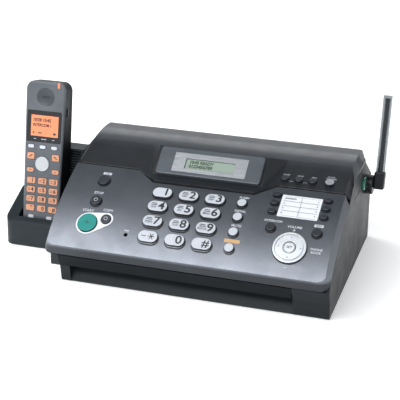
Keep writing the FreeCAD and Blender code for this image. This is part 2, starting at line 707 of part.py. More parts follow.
def document_chute():
    """The guide plate from the rear slot to the front exit, with the rollers' cheeks."""
    depth, thick = 15.5, 1.4
    first, last = 1.0, panel.length - 8.0
    left, right = dim("paper_left") - 1.0, dim("paper_right") + 1.5
    lower = [panel.curve(first, last, depth), panel.curve(first, last, depth + thick),
             line(panel.point(first, depth), panel.point(first, depth + thick)),
             line(panel.point(last, depth), panel.point(last, depth + thick))]
    front = profile_body("chute_front", lower, left, right)
    a, b = panel.point(last - 0.5, depth), panel.point(last - 0.5, depth + thick)
    rear = profile_body("chute_rear", polygon([
        a, (84.0, 88.2), (112.0, 95.6), (148.0, 98.4), (156.5, 91.2), (156.5, 89.4),
        (147.6, 96.8), (112.2, 94.0), (84.0, 86.6), b]), left, right)
    cheeks = []
    for x in (left, right - 2.5):
        cheek = profile_body("chute_cheek", polygon([
            (86.0, 88.0), (88.0, 54.0), (106.5, 54.0), (110.0, 72.0), (130.0, 96.0),
            (140.5, 97.0), (140.5, 107.0), (130.0, 106.6), (128.0, 97.0), (112.0, 95.0)]),
            x, x + 2.5)
        platen = cylinder_x("cheek_bore", x - 1, x + 4, dim("platen_y"), dim("platen_z"),
                            "(dims.shaft_radius + dims.running_gap) * 1 mm")
        pinch = cylinder_x("cheek_pinch", x - 1, x + 4, dim("pinch_y"), dim("pinch_z"),
                           "2 mm + dims.running_gap * 1 mm")
        cheeks.append(cut("cheek", cheek, [platen, pinch]))
    return finish(fuse("document_chute", [front, rear] + cheeks), "document_chute")


# ---------------------------------------------------------------- operation panel
def panel_section(x, drop):
    """Closed wire of the panel's outside at x, with its top lowered by drop."""
    depth = dim("panel_depth")
    s0, s1 = 0.0, panel.length
    a, b = panel.point(s0, drop), panel.point(s1, drop)
    am, bm = panel.point((s0 + s1) / 2, drop), panel.point((s0 + s1) / 2, depth)
    back_low = (b[0], panel.point(s1, depth)[1])
    lip_out = (dim("skirt_y"), dim("skirt_z"))
    share = drop / (depth + 2.0)
    a = (a[0] + 0.0, a[1])
    front = panel.point(0.0, 0.0)
    a = (front[0] + (lip_out[0] - front[0]) * share, front[1] + (lip_out[1] - front[1]) * share)
    am = panel.point((s0 + s1) / 2, drop)
    low_front = panel.point(4.0, depth)

    def p(q):
        return V(x, q[0], q[1])
    edges = [Part.Arc(p(a), p(am), p(b)).toShape(),
             Part.LineSegment(p(b), p(back_low)).toShape(),
             Part.Arc(p(back_low), p(bm), p(low_front)).toShape(),
             Part.LineSegment(p(low_front), p(lip_out)).toShape(),
             Part.LineSegment(p(lip_out), p(a)).toShape()]
    return Part.Wire(edges)


def corner_tool():
    """A slab square to the panel's front edge that rounds its two front corners."""
    half = dim("panel_rim_half") + 0.8
    taper = math.tan(math.radians(21.8))
    wires = []
    for height, left_r, right_r in ((4.0, 9.5, 8.5), (-14.0, dim("corner_low_left"),
                                                      dim("corner_low_right"))):
        out = -height * taper
        wires.append(slab_outline(-half - out, -out, half + out, 200.0, left_r, right_r,
                                  height))
    rest = block("corner_rest", -half - 10.0, half + 10.0, 22.0, 200.0, -60.0, 6.0)
    whole = fuse("corner_slab", [ruled_solid("corner_loft", wires), rest])
    y, z = panel.point(0.0)
    return local(whole, (0.0, y, z), panel.tilt(0.0))


def slab_outline(left, low, right, high, left_r, right_r, height):
    """A closed rectangle at a height whose two near corners are round."""
    k = math.sqrt(0.5)

    def at(x, y):
        return V(x, y, height)
    edges = [Part.LineSegment(at(left + left_r, low), at(right - right_r, low)).toShape(),
             Part.Arc(at(right - right_r, low),
                      at(right - right_r + k * right_r, low + right_r - k * right_r),
                      at(right, low + right_r)).toShape(),
             Part.LineSegment(at(right, low + right_r), at(right, high)).toShape(),
             Part.LineSegment(at(right, high), at(left, high)).toShape(),
             Part.LineSegment(at(left, high), at(left, low + left_r)).toShape(),
             Part.Arc(at(left, low + left_r),
                      at(left + left_r - k * left_r, low + left_r - k * left_r),
                      at(left + left_r, low)).toShape()]
    return Part.Wire(edges)


def panel_frame(s):
    y, z = panel.point(s)
    return (y, z), panel.tilt(s)


def band_frame(y):
    return band_point(y), BAND_TILT


def front_cover():
    half, rim, depth = dim("body_half"), dim("panel_rim_half"), dim("panel_depth")
    wires = [panel_section(-half, depth - 1.2), panel_section(-rim, 0.0),
             panel_section(rim, 0.0), panel_section(half, depth - 1.2)]
    outer = common("panel_outer", ruled_solid("panel_loft", wires), corner_tool())
    wall = dim("cover_wall")
    s0, s1, deep = 3.5, panel.length + 4.0, depth + 6.0
    hollow = profile_body("panel_hollow", [
        panel.curve(s0, s1, wall), line(panel.point(s1, wall), panel.point(s1, deep)),
        line(panel.point(s1, deep), panel.point(s0, deep)),
        line(panel.point(s0, deep), panel.point(s0, wall))], -rim + 3.5, rim - 3.5)
    y, z = dim("front_pivot_y"), dim("front_pivot_z")
    swing = cylinder_x("panel_swing_clear", -half - 1, half + 1, y, z, 9.1)
    holes = key_holes(PANEL_KEYS + [NAVIGATOR], panel_frame)
    holes += [panel_notch(), card_recess(), mic_hole()]
    shell = cut("panel_shell", outer, [hollow, swing] + holes)
    arms = [hinge_arm(x, y, z) for x in (-137.1, 133.6)]
    return finish(fuse("front_cover", [shell] + arms + pivot_pins(y, z)), "front_cover")


def hinge_arm(x, y, z):
    """A gooseneck from under the panel, below the top cover's edge, up to the pivot."""
    neck = profile_body("hinge_arm", polygon([
        panel.point(88.0, 1.5), panel.point(95.5, 1.5), (70.6, 90.5), (72.4, 87.9),
        (74.3, 87.2), (77.0, 89.0), (79.6, 93.6), (82.0, 90.1), (79.6, 86.2), (75.0, 84.2),
        (68.8, 84.4)]), x, x + 3.5)
    eye = cylinder_x("hinge_eye", x, x + 3.5, y, z, 3.0)
    return fuse("hinge_arm_whole", [neck, eye])


def panel_notch():
    """Room at the panel's back edge for the top cover's tongue, a seam's width all round."""
    gap = dim("seam")
    front = dim("tongue_front_y") - gap
    near, far = dim("tongue_half") + 0.8, dim("tongue_root_half") + 0.8
    root = dim("panel_back_y")
    return plate_body("panel_notch", polygon([
        (-near, front), (near, front), (far, root), (far, 90.0), (-far, 90.0),
        (-far, root)]), 70.0, 50.0)


def card_recess():
    """Shallow pocket in the panel for the directory card."""
    middle = (dim("card_low") + dim("card_high")) / 2
    (y, z), tilt = panel_frame(middle)
    tall = dim("card_high") - dim("card_low")
    pocket = plate_body("card_pocket", rounded(
        dim("card_left") - 0.2, -tall / 2 - 0.2, dim("card_right") + 0.2, tall / 2 + 0.2, 1.2),
        -dim("card_recess") - 0.5, 5.0)
    return local(pocket, (0.0, y, z), tilt)


def directory_card():
    middle = (dim("card_low") + dim("card_high")) / 2
    (y, z), tilt = panel_frame(middle)
    tall = dim("card_high") - dim("card_low")
    card = plate_body("card_sheet", rounded(
        dim("card_left"), -tall / 2, dim("card_right"), tall / 2, 1.0),
        -dim("card_recess") - 0.45, 1.0)
    return finish(card, "directory_card", at=(0.0, y, z), tilt=tilt)


def mic_hole():
    (y, z), tilt = panel_frame(21.0)
    hole = plate_body("mic_bore", circle(-61.5, 0.0, 2.0), -8.0, 12.0)
    return local(hole, (0.0, y, z), tilt)


# ---------------------------------------------------------------- keys
def row(index):
    """Distance of a dial row from the panel's front edge; row 0 is the lowest."""
    return dim("key_row_first") + index * dim("key_row_pitch")


def s_of(y):
    """Distance along the panel of the point whose y is given."""
    low, high = 0.0, panel.length
    for _ in range(40):
        middle = (low + high) / 2
        if panel.point(middle)[0] < y:
            low = middle
        else:
            high = middle
    return low


def pill(x, wide, tall, corner):
    return ("pill", x, wide, tall, corner)


def disc(x, radius):
    return ("disc", x, radius)


DIAL_LABELS = [["key_star", "key_0", "key_hash"], ["key_7", "key_8", "key_9"],
               ["key_4", "key_5", "key_6"], ["key_1", "key_2", "key_3"]]

# Each entry: node, then the key tops it holds as (shape, place along the surface).
PANEL_KEYS = []
for level, labels in enumerate(DIAL_LABELS):
    for column, label in enumerate(labels):
        shape = pill(dim("key_left") + column * dim("key_pitch"), dim("key_width"),
                     dim("key_height"), dim("key_round"))
        PANEL_KEYS.append((label, [(shape, row(level))]))
PANEL_KEYS += [
    ("start_key", [(disc(-103.9, dim("start_radius")), s_of(8.1))]),
    ("copy_key", [(disc(-86.1, dim("copy_radius")), s_of(13.4))]),
    ("stop_key", [(disc(-103.2, dim("stop_radius")), s_of(30.2))]),
    ("locator_key", [(disc(-103.5, dim("locator_radius")), s_of(53.9))]),
    ("function_keys", [(disc(44.1, dim("small_key_radius")), row(i)) for i in range(4)]),
    ("memory_keys",
     [(pill(x, 7.6, 5.8, 2.8), s_of(y)) for x in (75.3, 126.4) for y in (43.5, 53.2, 63.5)]
     + [(disc(78.5, dim("small_key_radius")), s_of(26.6)),
        (disc(123.9, dim("small_key_radius")), s_of(26.5))]),
]
NAVIGATOR = ("navigator_ring", [(disc(101.7, dim("ring_radius")), s_of(10.0))])
TOP_KEYS = [
    ("answering_keys", [(disc(x, dim("recorder_radius")), 87.5) for x in (76.8, 91.0, 105.1)]
     + [(disc(122.0, dim("answer_radius")), 88.0)]),
]


def key_outline(shape, grow=0.0):
    if shape[0] == "disc":
        return circle(0.0, 0.0, shape[2] + grow)
    _, _, wide, tall, corner = shape
    return rounded(-wide / 2 - grow, -tall / 2 - grow, wide / 2 + grow, tall / 2 + grow,
                   corner + grow)


def key_holes(keys, frame):
    """Cutters for every key, a little larger than the key and square to the surface."""
    cutters = []
    for label, tops in keys:
        for shape, place in tops:
            (y, z), tilt = frame(place)
            tool = plate_body("hole_" + label, key_outline(shape, dim("key_gap")), -9.0, 14.0)
            cutters.append(local(tool, (shape[1], y, z), tilt))
    return cutters


def key_solid(name, shape, at, tilt, proud):
    """A key: cap through the panel, a retaining flange below it, and a softened top edge."""
    skirt, flange = dim("key_skirt"), dim("key_flange")
    cap = plate_body(name + "_cap", key_outline(shape), -skirt, skirt + proud)
    rim = plate_body(name + "_rim", key_outline(shape, 1.0), -skirt - flange, flange + 0.01)
    top = soft_edges(name + "_top", cap, 0.7, lambda e: all(
        abs(v.Z - proud) < 0.01 for v in e.Vertexes))
    whole = fuse(name + "_whole", [top, rim])
    return local(whole, at, tilt)


def make_keys(keys, frame):
    for label, tops in keys:
        solids = []
        for shape, place in tops:
            (y, z), tilt = frame(place)
            solids.append(key_solid(label, shape, (shape[1], y, z), tilt, dim("key_proud")))
        finish(group(label, solids), label)


def navigator():
    """The round four-way key with the set key in its middle."""
    shape, place = NAVIGATOR[1][0]
    (y, z), tilt = panel_frame(place)
    skirt, flange = dim("key_skirt"), dim("key_flange")
    cap = plate_body("ring_cap", circle(0, 0, dim("ring_radius")), -skirt - 0.4, skirt + 2.6)
    top = soft_edges("ring_top", cap, 0.9, lambda e: all(
        abs(v.Z - 2.2) < 0.01 for v in e.Vertexes))
    rim = plate_body("ring_rim", circle(0, 0, dim("ring_radius") + 1.2), -skirt - flange - 0.4,
                     flange + 0.02)
    bore = plate_body("ring_bore", circle(0, 0, dim("ring_bore")), -9.0, 16.0)
    groove = cut("ring_groove", plate_body("groove_out", circle(0, 0, 14.2), 1.5, 4.0),
                 [plate_body("groove_in", circle(0, 0, 13.0), 0.0, 8.0)])
    ring = cut("navigator_ring", fuse("ring_whole", [top, rim]), [bore, groove])
    finish(ring, "navigator_ring", at=(shape[1], y, z), tilt=tilt)
    post = plate_body("set_post", circle(0, 0, dim("set_radius")), -skirt, skirt + 2.4)
    button = soft_edges("set_soft", post, 0.8, lambda e: all(
        abs(v.Z - 2.4) < 0.01 for v in e.Vertexes))
    collar = plate_body("set_collar", circle(0, 0, dim("ring_bore") - 0.5), -skirt - flange,
                        flange + 0.02)
    finish(fuse("set_key", [button, collar]), "set_key", at=(shape[1], y, z), tilt=tilt)


# ---------------------------------------------------------------- side button and antenna
def release_button():
    half, proud = dim("body_half"), dim("release_proud")
    cap = release_slab("release_cap", 0.0, half - 6.0, half + proud)
    soft = soft_edges("release_soft", cap, 1.6, lambda e: all(
        v.X > half + proud - 0.01 for v in e.Vertexes))
    flange = release_slab("release_flange", 1.4, half - 7.2, half - 5.9)
    return finish(fuse("release_button", [soft, flange]), "release_button")


def antenna_base():
    half, y, z = dim("body_half"), dim("antenna_y"), dim("antenna_z")
    end = half + dim("antenna_disc_thick")
    knob = cylinder_x("base_disc", half, end, y, z, "dims.antenna_disc * 1 mm")
    soft = soft_edges("base_soft", knob, 1.3, lambda e: all(
        v.X > end - 0.01 for v in e.Vertexes))
    groove = cut("base_groove", cylinder_x("groove_out", half + 3.4, half + 4.4, y, z,
                                           dim("antenna_disc") + 2.0),
                 [cylinder_x("groove_in", half + 3.0, half + 5.0, y, z,
                             dim("antenna_disc") - 0.9)])
    bore = cylinder_x("base_bore", half + 3.0, half + 12.0, y, z,
                      "3 mm + dims.running_gap * 1 mm")
    return finish(cut("antenna_base", soft, [groove, bore]), "antenna_base")


def antenna_frame(obj, label):
    at = (0.0, dim("antenna_y"), dim("antenna_z"))
    return finish(obj, label, at=at, tilt=-dim("antenna_lean"))


def antenna_elbow():
    x0 = dim("body_half") + dim("antenna_disc_thick") + 0.2
    x1 = x0 + dim("elbow_thick")
    knuckle = block("elbow_block", x0, x1, -5.8, 5.8, -dim("elbow_low"), dim("elbow_high"))
    soft = soft_edges("elbow_soft", knuckle, 2.0, lambda e: True)
    stub = cylinder_x("elbow_stub", x0 - 4.5, x0 + 1.0, 0.0, 0.0, 3.0)
    socket = doc.addObject("Part::Cylinder", "elbow_socket")
    socket.Radius, socket.Height = dim("rod_radius"), 20.0
    socket.Placement.Base = V((x0 + x1) / 2, 0.0, 6.0)
    return antenna_frame(cut("antenna_elbow", fuse("elbow_solid", [soft, stub]), [socket]),
                         "antenna_elbow")


def antenna_rod():
    """The dark aerial that runs up inside the clear sleeve."""
    x = dim("body_half") + dim("antenna_disc_thick") + 0.2 + dim("elbow_thick") / 2
    top = dim("elbow_high") + dim("sleeve_length") - 3.0
    rod = upright("rod", x, 0.0, 6.0, top, dim("rod_radius"))
    return antenna_frame(group("antenna_rod", [rod]), "antenna_rod")


def antenna_sleeve():
    x = dim("body_half") + dim("antenna_disc_thick") + 0.2 + dim("elbow_thick") / 2
    low, high = dim("elbow_high"), dim("elbow_high") + dim("sleeve_length")
    outer = upright("sleeve", x, 0.0, low, high, dim("sleeve_radius"))
    bore = upright("sleeve_bore", x, 0.0, low - 1.0, high - 2.9, dim("rod_radius") + 0.05)
    return antenna_frame(cut("antenna_sleeve", outer, [bore]), "antenna_sleeve")


# ---------------------------------------------------------------- handset
def handset_edges(inset, radius_low, radius_high):
    """Front outline of the handset, drawn inward by inset: a tapered bar, round at its ends."""
    low, high = dim("handset_low") + inset, dim("handset_high") - inset
    wl, wh = dim("handset_half_low") - inset, dim("handset_half_high") - inset
    rl, rh = radius_low - inset, radius_high - inset
    k = math.sqrt(0.5)
    points = [(wl - rl, low), (wl, low + rl), (wh, high - rh), (wh - rh, high),
              (-wh + rh, high), (-wh, high - rh), (-wl, low + rl), (-wl + rl, low)]

    def corner(a, b, cx, cy, r, sx, sy):
        return arc(a, (cx + sx * k * r, cy + sy * k * r), b)
    return [corner(points[0], points[1], wl - rl, low + rl, rl, 1, -1),
            line(points[1], points[2]),
            corner(points[2], points[3], wh - rh, high - rh, rh, 1, 1),
            line(points[3], points[4]),
            corner(points[4], points[5], -wh + rh, high - rh, rh, -1, 1),
            line(points[5], points[6]),
            corner(points[6], points[7], -wl + rl, low + rl, rl, -1, -1),
            line(points[7], points[0])]


def handset_slab(name, y0, y1, inset=0.0):
    """A slab of the handset's outline between two depths behind its face."""
    body = doc.addObject("PartDesign::Body", name)
    sketch = sketch_on(body, "XZ_Plane", handset_edges(inset, 8.0, 9.0), -y1)
    pad_on(body, sketch, y1 - y0)
    return body


def handset_frame(obj, label):
    at = (dim("handset_x"), dim("handset_y"), dim("handset_z"))
    return finish(obj, label, at=at, tilt=-dim("handset_lean"))


HANDSET_KEYS = [(x, 78.1, 6.6, 3.6) for x in (-13.7, -0.4, 12.9)]
HANDSET_KEYS += [(-13.6, 67.8, 8.2, 7.0), (15.0, 67.8, 8.2, 7.0), (-13.6, 52.6, 7.6, 4.6),
                 (15.4, 52.6, 7.6, 4.6)]
HANDSET_KEYS += [(x + 0.6, 41.4 - 9.95 * r, 9.6, 6.6) for r in range(4)
                 for x in (-12.6, 0.4, 13.3)]
HANDSET_KEYS += [(-10.6, 2.0, 6.4, 3.6), (10.5, 2.0, 6.4, 3.6)]
NAV_AT = (-0.2, 59.9)


def handset_prism(name, x, length_at, wide, tall, y0, y1, grow=0.0, corner=1.6):
    """A rounded bar square to the handset's face, from depth y0 to depth y1."""
    body = doc.addObject("PartDesign::Body", name)
    edges = rounded(x - wide / 2 - grow, length_at - tall / 2 - grow, x + wide / 2 + grow,
                    length_at + tall / 2 + grow, min(corner + grow, tall / 2 + grow - 0.05))
    sketch = sketch_on(body, "XZ_Plane", edges, -y1)
    pad_on(body, sketch, y1 - y0)
    return body


def handset_front():
    wall = dim("handset_wall")
    slab = handset_slab("front_slab", 0.0, dim("handset_split"))
    soft = soft_edges("front_soft", slab, 2.4, lambda e: all(
        abs(v.Y) < 0.01 for v in e.Vertexes))
    hollow = handset_slab("front_hollow", wall + 0.8, dim("handset_split") + 1.0, wall)
    dish = doc.addObject("Part::Sphere", "ear_dish")
    dish.Radius = 27.0
    dish.Placement.Base = V(0.3, -24.8, 131.3)
    tools = [hollow, dish]
    for x in (-2.8, 0.3, 3.4):
        bore = doc.addObject("Part::Cylinder", "ear_hole")
        bore.Radius, bore.Height = 0.65, 8.0
        bore.Placement = FreeCAD.Placement(V(x, 6.0, 131.3), FreeCAD.Rotation(ALONG, 90))
        tools.append(bore)
    tools.append(handset_prism("window_recess", 0.0, 99.9, 39.4, 33.6, -1.0, 1.2, 0.1, 1.6))
    for x, along, wide, tall in HANDSET_KEYS:
        tools.append(handset_prism("key_hole", x, along, wide, tall, -2.0, 6.0, 0.3))
    tools.append(nav_disc("nav_hole", 7.9 + 0.3, -2.0, 6.0))
    return handset_frame(cut("handset_front", soft, tools), "handset_front")


def nav_disc(name, radius, y0, y1):
    tube = doc.addObject("Part::Cylinder", name)
    tube.Radius, tube.Height = radius, y1 - y0
    tube.Placement = FreeCAD.Placement(V(NAV_AT[0], y1, NAV_AT[1]), FreeCAD.Rotation(ALONG, 90))
    return tube


def handset_back():
    wall = dim("handset_wall")
    split, thick = dim("handset_split"), dim("handset_thick")
    slab = handset_slab("back_slab", split + 0.1, thick)
    wedge = profile_body("back_taper", polygon([
        (thick, 62.0), (dim("handset_thin"), 150.0), (40.0, 160.0), (40.0, 62.0)]), -40.0, 40.0)
    tapered = cut("back_tapered", slab, [wedge])
    hollow = handset_slab("back_hollow", split - 1.0, dim("handset_thin") - wall, wall)
    bay = handset_slab_part("battery_bay", split - 1.0, thick - wall, 4.0, 62.0)
    return handset_frame(cut("handset_back", tapered, [hollow, bay]), "handset_back")


def handset_slab_part(name, y0, y1, low, high):
    """Room for the battery inside the back half."""
    return block(name, -16.0, 16.0, y0, y1, low, high)


def handset_window():
    return handset_frame(handset_prism("handset_window", 0.0, 99.9, 39.4, 33.6, 0.15, 1.2,
                                       0.0, 1.5), "handset_window")


def handset_keys():
    keys = []
    for x, along, wide, tall in HANDSET_KEYS:
        cap = handset_prism("handset_cap", x, along, wide, tall, -0.8, 3.6)
        flange = handset_prism("handset_flange", x, along, wide, tall, 3.59, 4.2, 0.25)
        keys.append(fuse("handset_key", [cap, flange]))
    return handset_frame(group("handset_keys", keys), "handset_keys")


def handset_navigator():
    cap = nav_disc("nav_cap", 7.9, -1.2, 3.6)
    soft = soft_edges("nav_soft", cap, 0.6, lambda e: all(
        abs(v.Y + 1.2) < 0.01 for v in e.Vertexes))
    flange = nav_disc("nav_flange", 8.6, 3.59, 4.2)
    return handset_frame(fuse("handset_navigator", [soft, flange]), "handset_navigator")


def handset_battery():
    low = dim("handset_split") + 1.0
    pack = block("battery_pack", -15.9, 15.9, low, dim("handset_thick") - dim("handset_wall"),
                 4.1, 61.9)
    return handset_frame(group("handset_battery", [pack]), "handset_battery")


GRILLE_LOW = (114.0, 68.5)


GRILLE_RUN = 10.0


GRILLE_RISE = 24.5


GRILLE_WALL = 3.4


def grille_point(share, out):
    """A point up the sloping face behind the handset, out from it by the given distance."""
    size = math.hypot(GRILLE_RUN, GRILLE_RISE)
    return (GRILLE_LOW[0] + share * GRILLE_RUN - out * GRILLE_RISE / size,
            GRILLE_LOW[1] + share * GRILLE_RISE + out * GRILLE_RUN / size)


# ---------------------------------------------------------------- cradle
def handset_cradle():
    left, right = dim("cradle_left"), -dim("body_half")
    front, low = dim("cradle_front"), dim("foot_gap")
    rim, top = dim("cradle_rim_z"), dim("cradle_top_z")
    solid = profile_body("cradle_block", polygon([
        (front, low), (front + 1.5, rim), (front + 5.0, rim + 2.5), (107.5, 45.5),
        GRILLE_LOW, (GRILLE_LOW[0] + GRILLE_RUN, top), (141.5, top), (198.5, 62.0),
        (198.5, low)]), left, right)
    upright_edge = soft_edges("cradle_corner", solid, 11.0, lambda e: (
        all(v.X < left + 0.1 for v in e.Vertexes)
        and max(v.Y for v in e.Vertexes) < front + 2.0))
    shoulder = profile_body("cradle_shoulder", polygon([
        (front - 5.0, rim + 0.8), (front + 5.0, rim + 2.5), (107.5, 45.5), (112.0, 47.0),
        (205.0, 47.0), (205.0, top + 5), (front - 5.0, top + 5)]), left - 5.0,
        dim("housing_left"))
    pocket = doc.addObject("PartDesign::Body", "pocket_tool")
    width = dim("handset_half_low") + 3.4
    sketch = sketch_on(pocket, "XZ_Plane", rounded(-width, dim("pocket_floor"), width, 70.0,
                                                   7.0),
                       -dim("handset_thick") - dim("pocket_gap"))
    pad_on(pocket, sketch, dim("handset_thick") + dim("pocket_gap") + 3.6)
    local(pocket, (dim("handset_x"), dim("handset_y"), dim("handset_z")),
          -dim("handset_lean"))
    foot = grille_point(0.0, -GRILLE_WALL)
    head = grille_point(0.86, -GRILLE_WALL)
    space = profile_body("housing_space", polygon([
        (foot[0], 5.0), foot, head, (140.0, head[1]), (195.0, 60.0), (195.0, 5.0)]),
        dim("housing_left") + 3.0, right - 3.0)
    tools = [shoulder, pocket, space] + grille_slots() + contact_seats()
    return finish(cut("handset_cradle", upright_edge, tools), "handset_cradle")


def grille_slots():
    """Nine slots through the sloping face."""
    slots = []
    turn = -math.degrees(math.atan2(GRILLE_RUN, GRILLE_RISE))
    for index in range(9):
        y, z = grille_point((index + 0.7) / 9.8, 0.0)
        slot = plate_body("grille_slot", polygon([(-208.0, -1.5), (-150.0, -1.5),
                                                  (-150.0, 6.0), (-208.0, 6.0)]), -0.55, 1.1)
        slots.append(local(slot, (0.0, y, z), turn))
    return slots


def contact_boxes(grow, low, high):
    boxes = []
    for x in (-9.0, 9.0):
        boxes.append(block("contact", x - 1.5 - grow, x + 1.5 + grow, 6.0 - grow, 14.0 + grow,
                           dim("pocket_floor") + low, dim("pocket_floor") + high))
    return boxes


def contact_seats():
    seats = group("contact_seats", contact_boxes(0.0, -1.8, 1.0))
    return [local(seats, (dim("handset_x"), dim("handset_y"), dim("handset_z")),
                  -dim("handset_lean"))]


def charge_contacts():
    return handset_frame(group("charge_contacts", contact_boxes(0.0, -1.8, -0.1)),
                         "charge_contacts")


# ---------------------------------------------------------------- paper, rollers and gears
def paper_roll():
    """A roll of thermal paper on a spindle whose ends turn in the side frames."""
    x0 = dim("paper_centre") - dim("roll_width") / 2
    x1 = x0 + dim("roll_width")
    y, z = dim("roll_y"), dim("roll_z")
    paper = cylinder_x("roll_paper", x0, x1, y, z, "dims.roll_radius * 1 mm")
    spindle = cylinder_x("roll_spindle", dim("paper_left") - 2.8, dim("paper_right") + 3.3, y,
                         z, 4.0)
    return finish(fuse("paper_roll", [paper, spindle]), "paper_roll")


def platen_roller():
    y, z = dim("platen_y"), dim("platen_z")
    rubber = cylinder_x("platen_rubber", dim("paper_left") + 2.5, dim("paper_right") - 2.0, y,
                        z, "dims.platen_radius * 1 mm")
    shaft = cylinder_x("platen_shaft", dim("paper_left") - 1.0, dim("gear_x"), y, z,
                       "dims.shaft_radius * 1 mm")
    return finish(fuse("platen_roller", [rubber, shaft]), "platen_roller")


def pinch_roller():
    y, z = dim("pinch_y"), dim("pinch_z")
    parts = [cylinder_x("pinch_shaft", dim("paper_left") - 0.8, dim("paper_right") + 1.3, y, z,
                        2.0)]
    for index in range(4):
        x = dim("paper_left") + 22.0 + index * 55.0
        parts.append(cylinder_x("pinch_tyre", x, x + 18.0, y, z, "dims.pinch_radius * 1 mm"))
    return finish(fuse("pinch_roller", parts), "pinch_roller")


def gear_shape(teeth, x0, length, phase, hub):
    """A spur gear about the x axis: straight-sided teeth with backlash, on the pitch radius."""
    module = dim("gear_module")
    pitch = teeth * module / 2
    tip, root = pitch + 0.85 * module, pitch - 1.1 * module
    step = 2 * math.pi / teeth
    points = []
    for tooth in range(int(teeth)):
        centre = tooth * step + phase
        for share, radius in ((-0.38, root), (-0.21, pitch), (-0.10, tip), (0.10, tip),
                              (0.21, pitch), (0.38, root)):
            angle = centre + share * step
            points.append(V(x0, radius * math.cos(angle), radius * math.sin(angle)))
    face = Part.Face(Part.makePolygon(points + points[:1]))
    solid = face.extrude(V(length, 0, 0))
    if hub > 0:
        solid = solid.cut(Part.makeCylinder(hub, length + 2, V(x0 - 1, 0, 0), ALONG))
    return solid


def gear(label, teeth_alias, y, z, phase, hub, extra=None):
    """A gear node: the wheel, with an optional stub shaft fused to it."""
    solid = gear_shape(dim(teeth_alias), dim("gear_x"), dim("gear_face"), phase, hub)
    if extra is not None:
        solid = solid.fuse(extra)
    feature = doc.addObject("Part::Feature", label)
    feature.Shape = solid
    return finish(feature, label, at=(0.0, y, z))


def gear_train():
    py, pz = dim("pinion_y"), dim("pinion_z")
    iy, iz = dim("idler_y"), dim("idler_z")
    ty, tz = dim("platen_y"), dim("platen_z")
    x, face = dim("gear_x"), dim("gear_face")
    to_idler = math.atan2(iz - pz, iy - py)
    to_platen = math.atan2(tz - iz, ty - iy)
    idler_step = 2 * math.pi / dim("idler_teeth")
    platen_step = 2 * math.pi / dim("platen_teeth")
    # the pinion points a tooth at the idler, which answers with a gap, and so on
    idler_phase = to_idler + math.pi + idler_step / 2
    turns = (to_platen - idler_phase) / idler_step
    offset = (turns - math.floor(turns)) * idler_step
    platen_phase = to_platen + math.pi + (0.5 + offset / idler_step) * platen_step
    stub = Part.makeCylinder(1.5, face + 6.0, V(x, 0, 0), ALONG)
    gear("motor_pinion", "pinion_teeth", py, pz, to_idler, 0.0, stub)
    axle = Part.makeCylinder(2.0, face + 4.5, V(x - 4.5, 0, 0), ALONG)
    gear("idler_gear", "idler_teeth", iy, iz, idler_phase, 0.0, axle)
    gear("platen_gear", "platen_teeth", ty, tz, platen_phase, 0.0)


# ---------------------------------------------------------------- assembly
def build():
    lower_cabinet()
    exit_band()
    rubber_feet()
    case_screws()
    side_frames()
    thermal_head()
    main_board()
    drive_motor()
    rear_sockets()
    speaker()
    rear_deck()
    document_guide("document_guide_left", -100.0, -1)
    document_guide("document_guide_right", 89.0, 1)
    top_cover()
    display_bezel()
    display_plate()
    display_module()
    document_chute()
    front_cover()
    directory_card()
    make_keys(PANEL_KEYS, panel_frame)
    make_keys(TOP_KEYS, band_frame)
    navigator()
    release_button()
    antenna_base()
    antenna_elbow()
    antenna_rod()
    antenna_sleeve()
    handset_front()
    handset_back()
    handset_window()
    handset_keys()
    handset_navigator()
    handset_battery()
    handset_cradle()
    charge_contacts()
    paper_roll()
    platen_roller()
    pinch_roller()
    gear_train()


def export():
    doc.recompute()
    for obj in doc.Objects:
        if "Invalid" in obj.State or "Error" in obj.State:
            raise RuntimeError("%s failed: %s" % (obj.Name, obj.State))
    os.makedirs("parts", exist_ok=True)
    for obj in PARTS:
        if obj.Shape.isNull() or not obj.Shape.isValid():
            raise RuntimeError("bad shape: " + obj.Label)
    for obj in PARTS:
        obj.Shape.exportStep("parts/%s.step" % obj.Label)


build()
export()
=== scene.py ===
import bpy
import bmesh
import json
import math
from mathutils import Matrix, Vector

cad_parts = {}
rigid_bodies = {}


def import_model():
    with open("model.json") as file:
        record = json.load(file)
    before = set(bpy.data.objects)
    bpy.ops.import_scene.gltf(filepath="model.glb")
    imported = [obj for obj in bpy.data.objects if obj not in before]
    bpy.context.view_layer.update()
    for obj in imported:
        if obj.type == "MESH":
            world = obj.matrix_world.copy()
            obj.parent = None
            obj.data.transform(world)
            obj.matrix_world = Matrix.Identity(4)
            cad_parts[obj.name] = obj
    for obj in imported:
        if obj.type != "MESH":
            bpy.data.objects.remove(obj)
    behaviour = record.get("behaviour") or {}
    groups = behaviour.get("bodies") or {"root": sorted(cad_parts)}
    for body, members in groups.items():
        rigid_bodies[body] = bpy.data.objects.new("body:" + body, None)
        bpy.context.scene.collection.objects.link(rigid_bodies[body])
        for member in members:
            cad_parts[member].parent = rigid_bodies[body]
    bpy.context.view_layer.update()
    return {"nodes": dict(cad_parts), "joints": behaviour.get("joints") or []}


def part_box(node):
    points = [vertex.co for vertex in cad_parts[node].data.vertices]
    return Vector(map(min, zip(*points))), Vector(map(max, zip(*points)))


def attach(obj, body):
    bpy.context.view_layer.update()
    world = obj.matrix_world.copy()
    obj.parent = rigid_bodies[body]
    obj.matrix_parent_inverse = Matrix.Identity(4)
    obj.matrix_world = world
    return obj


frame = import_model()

NODES = frame["nodes"]
JOINTS = {joint["child"]: joint for joint in frame["joints"]}
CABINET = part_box("lower_cabinet")
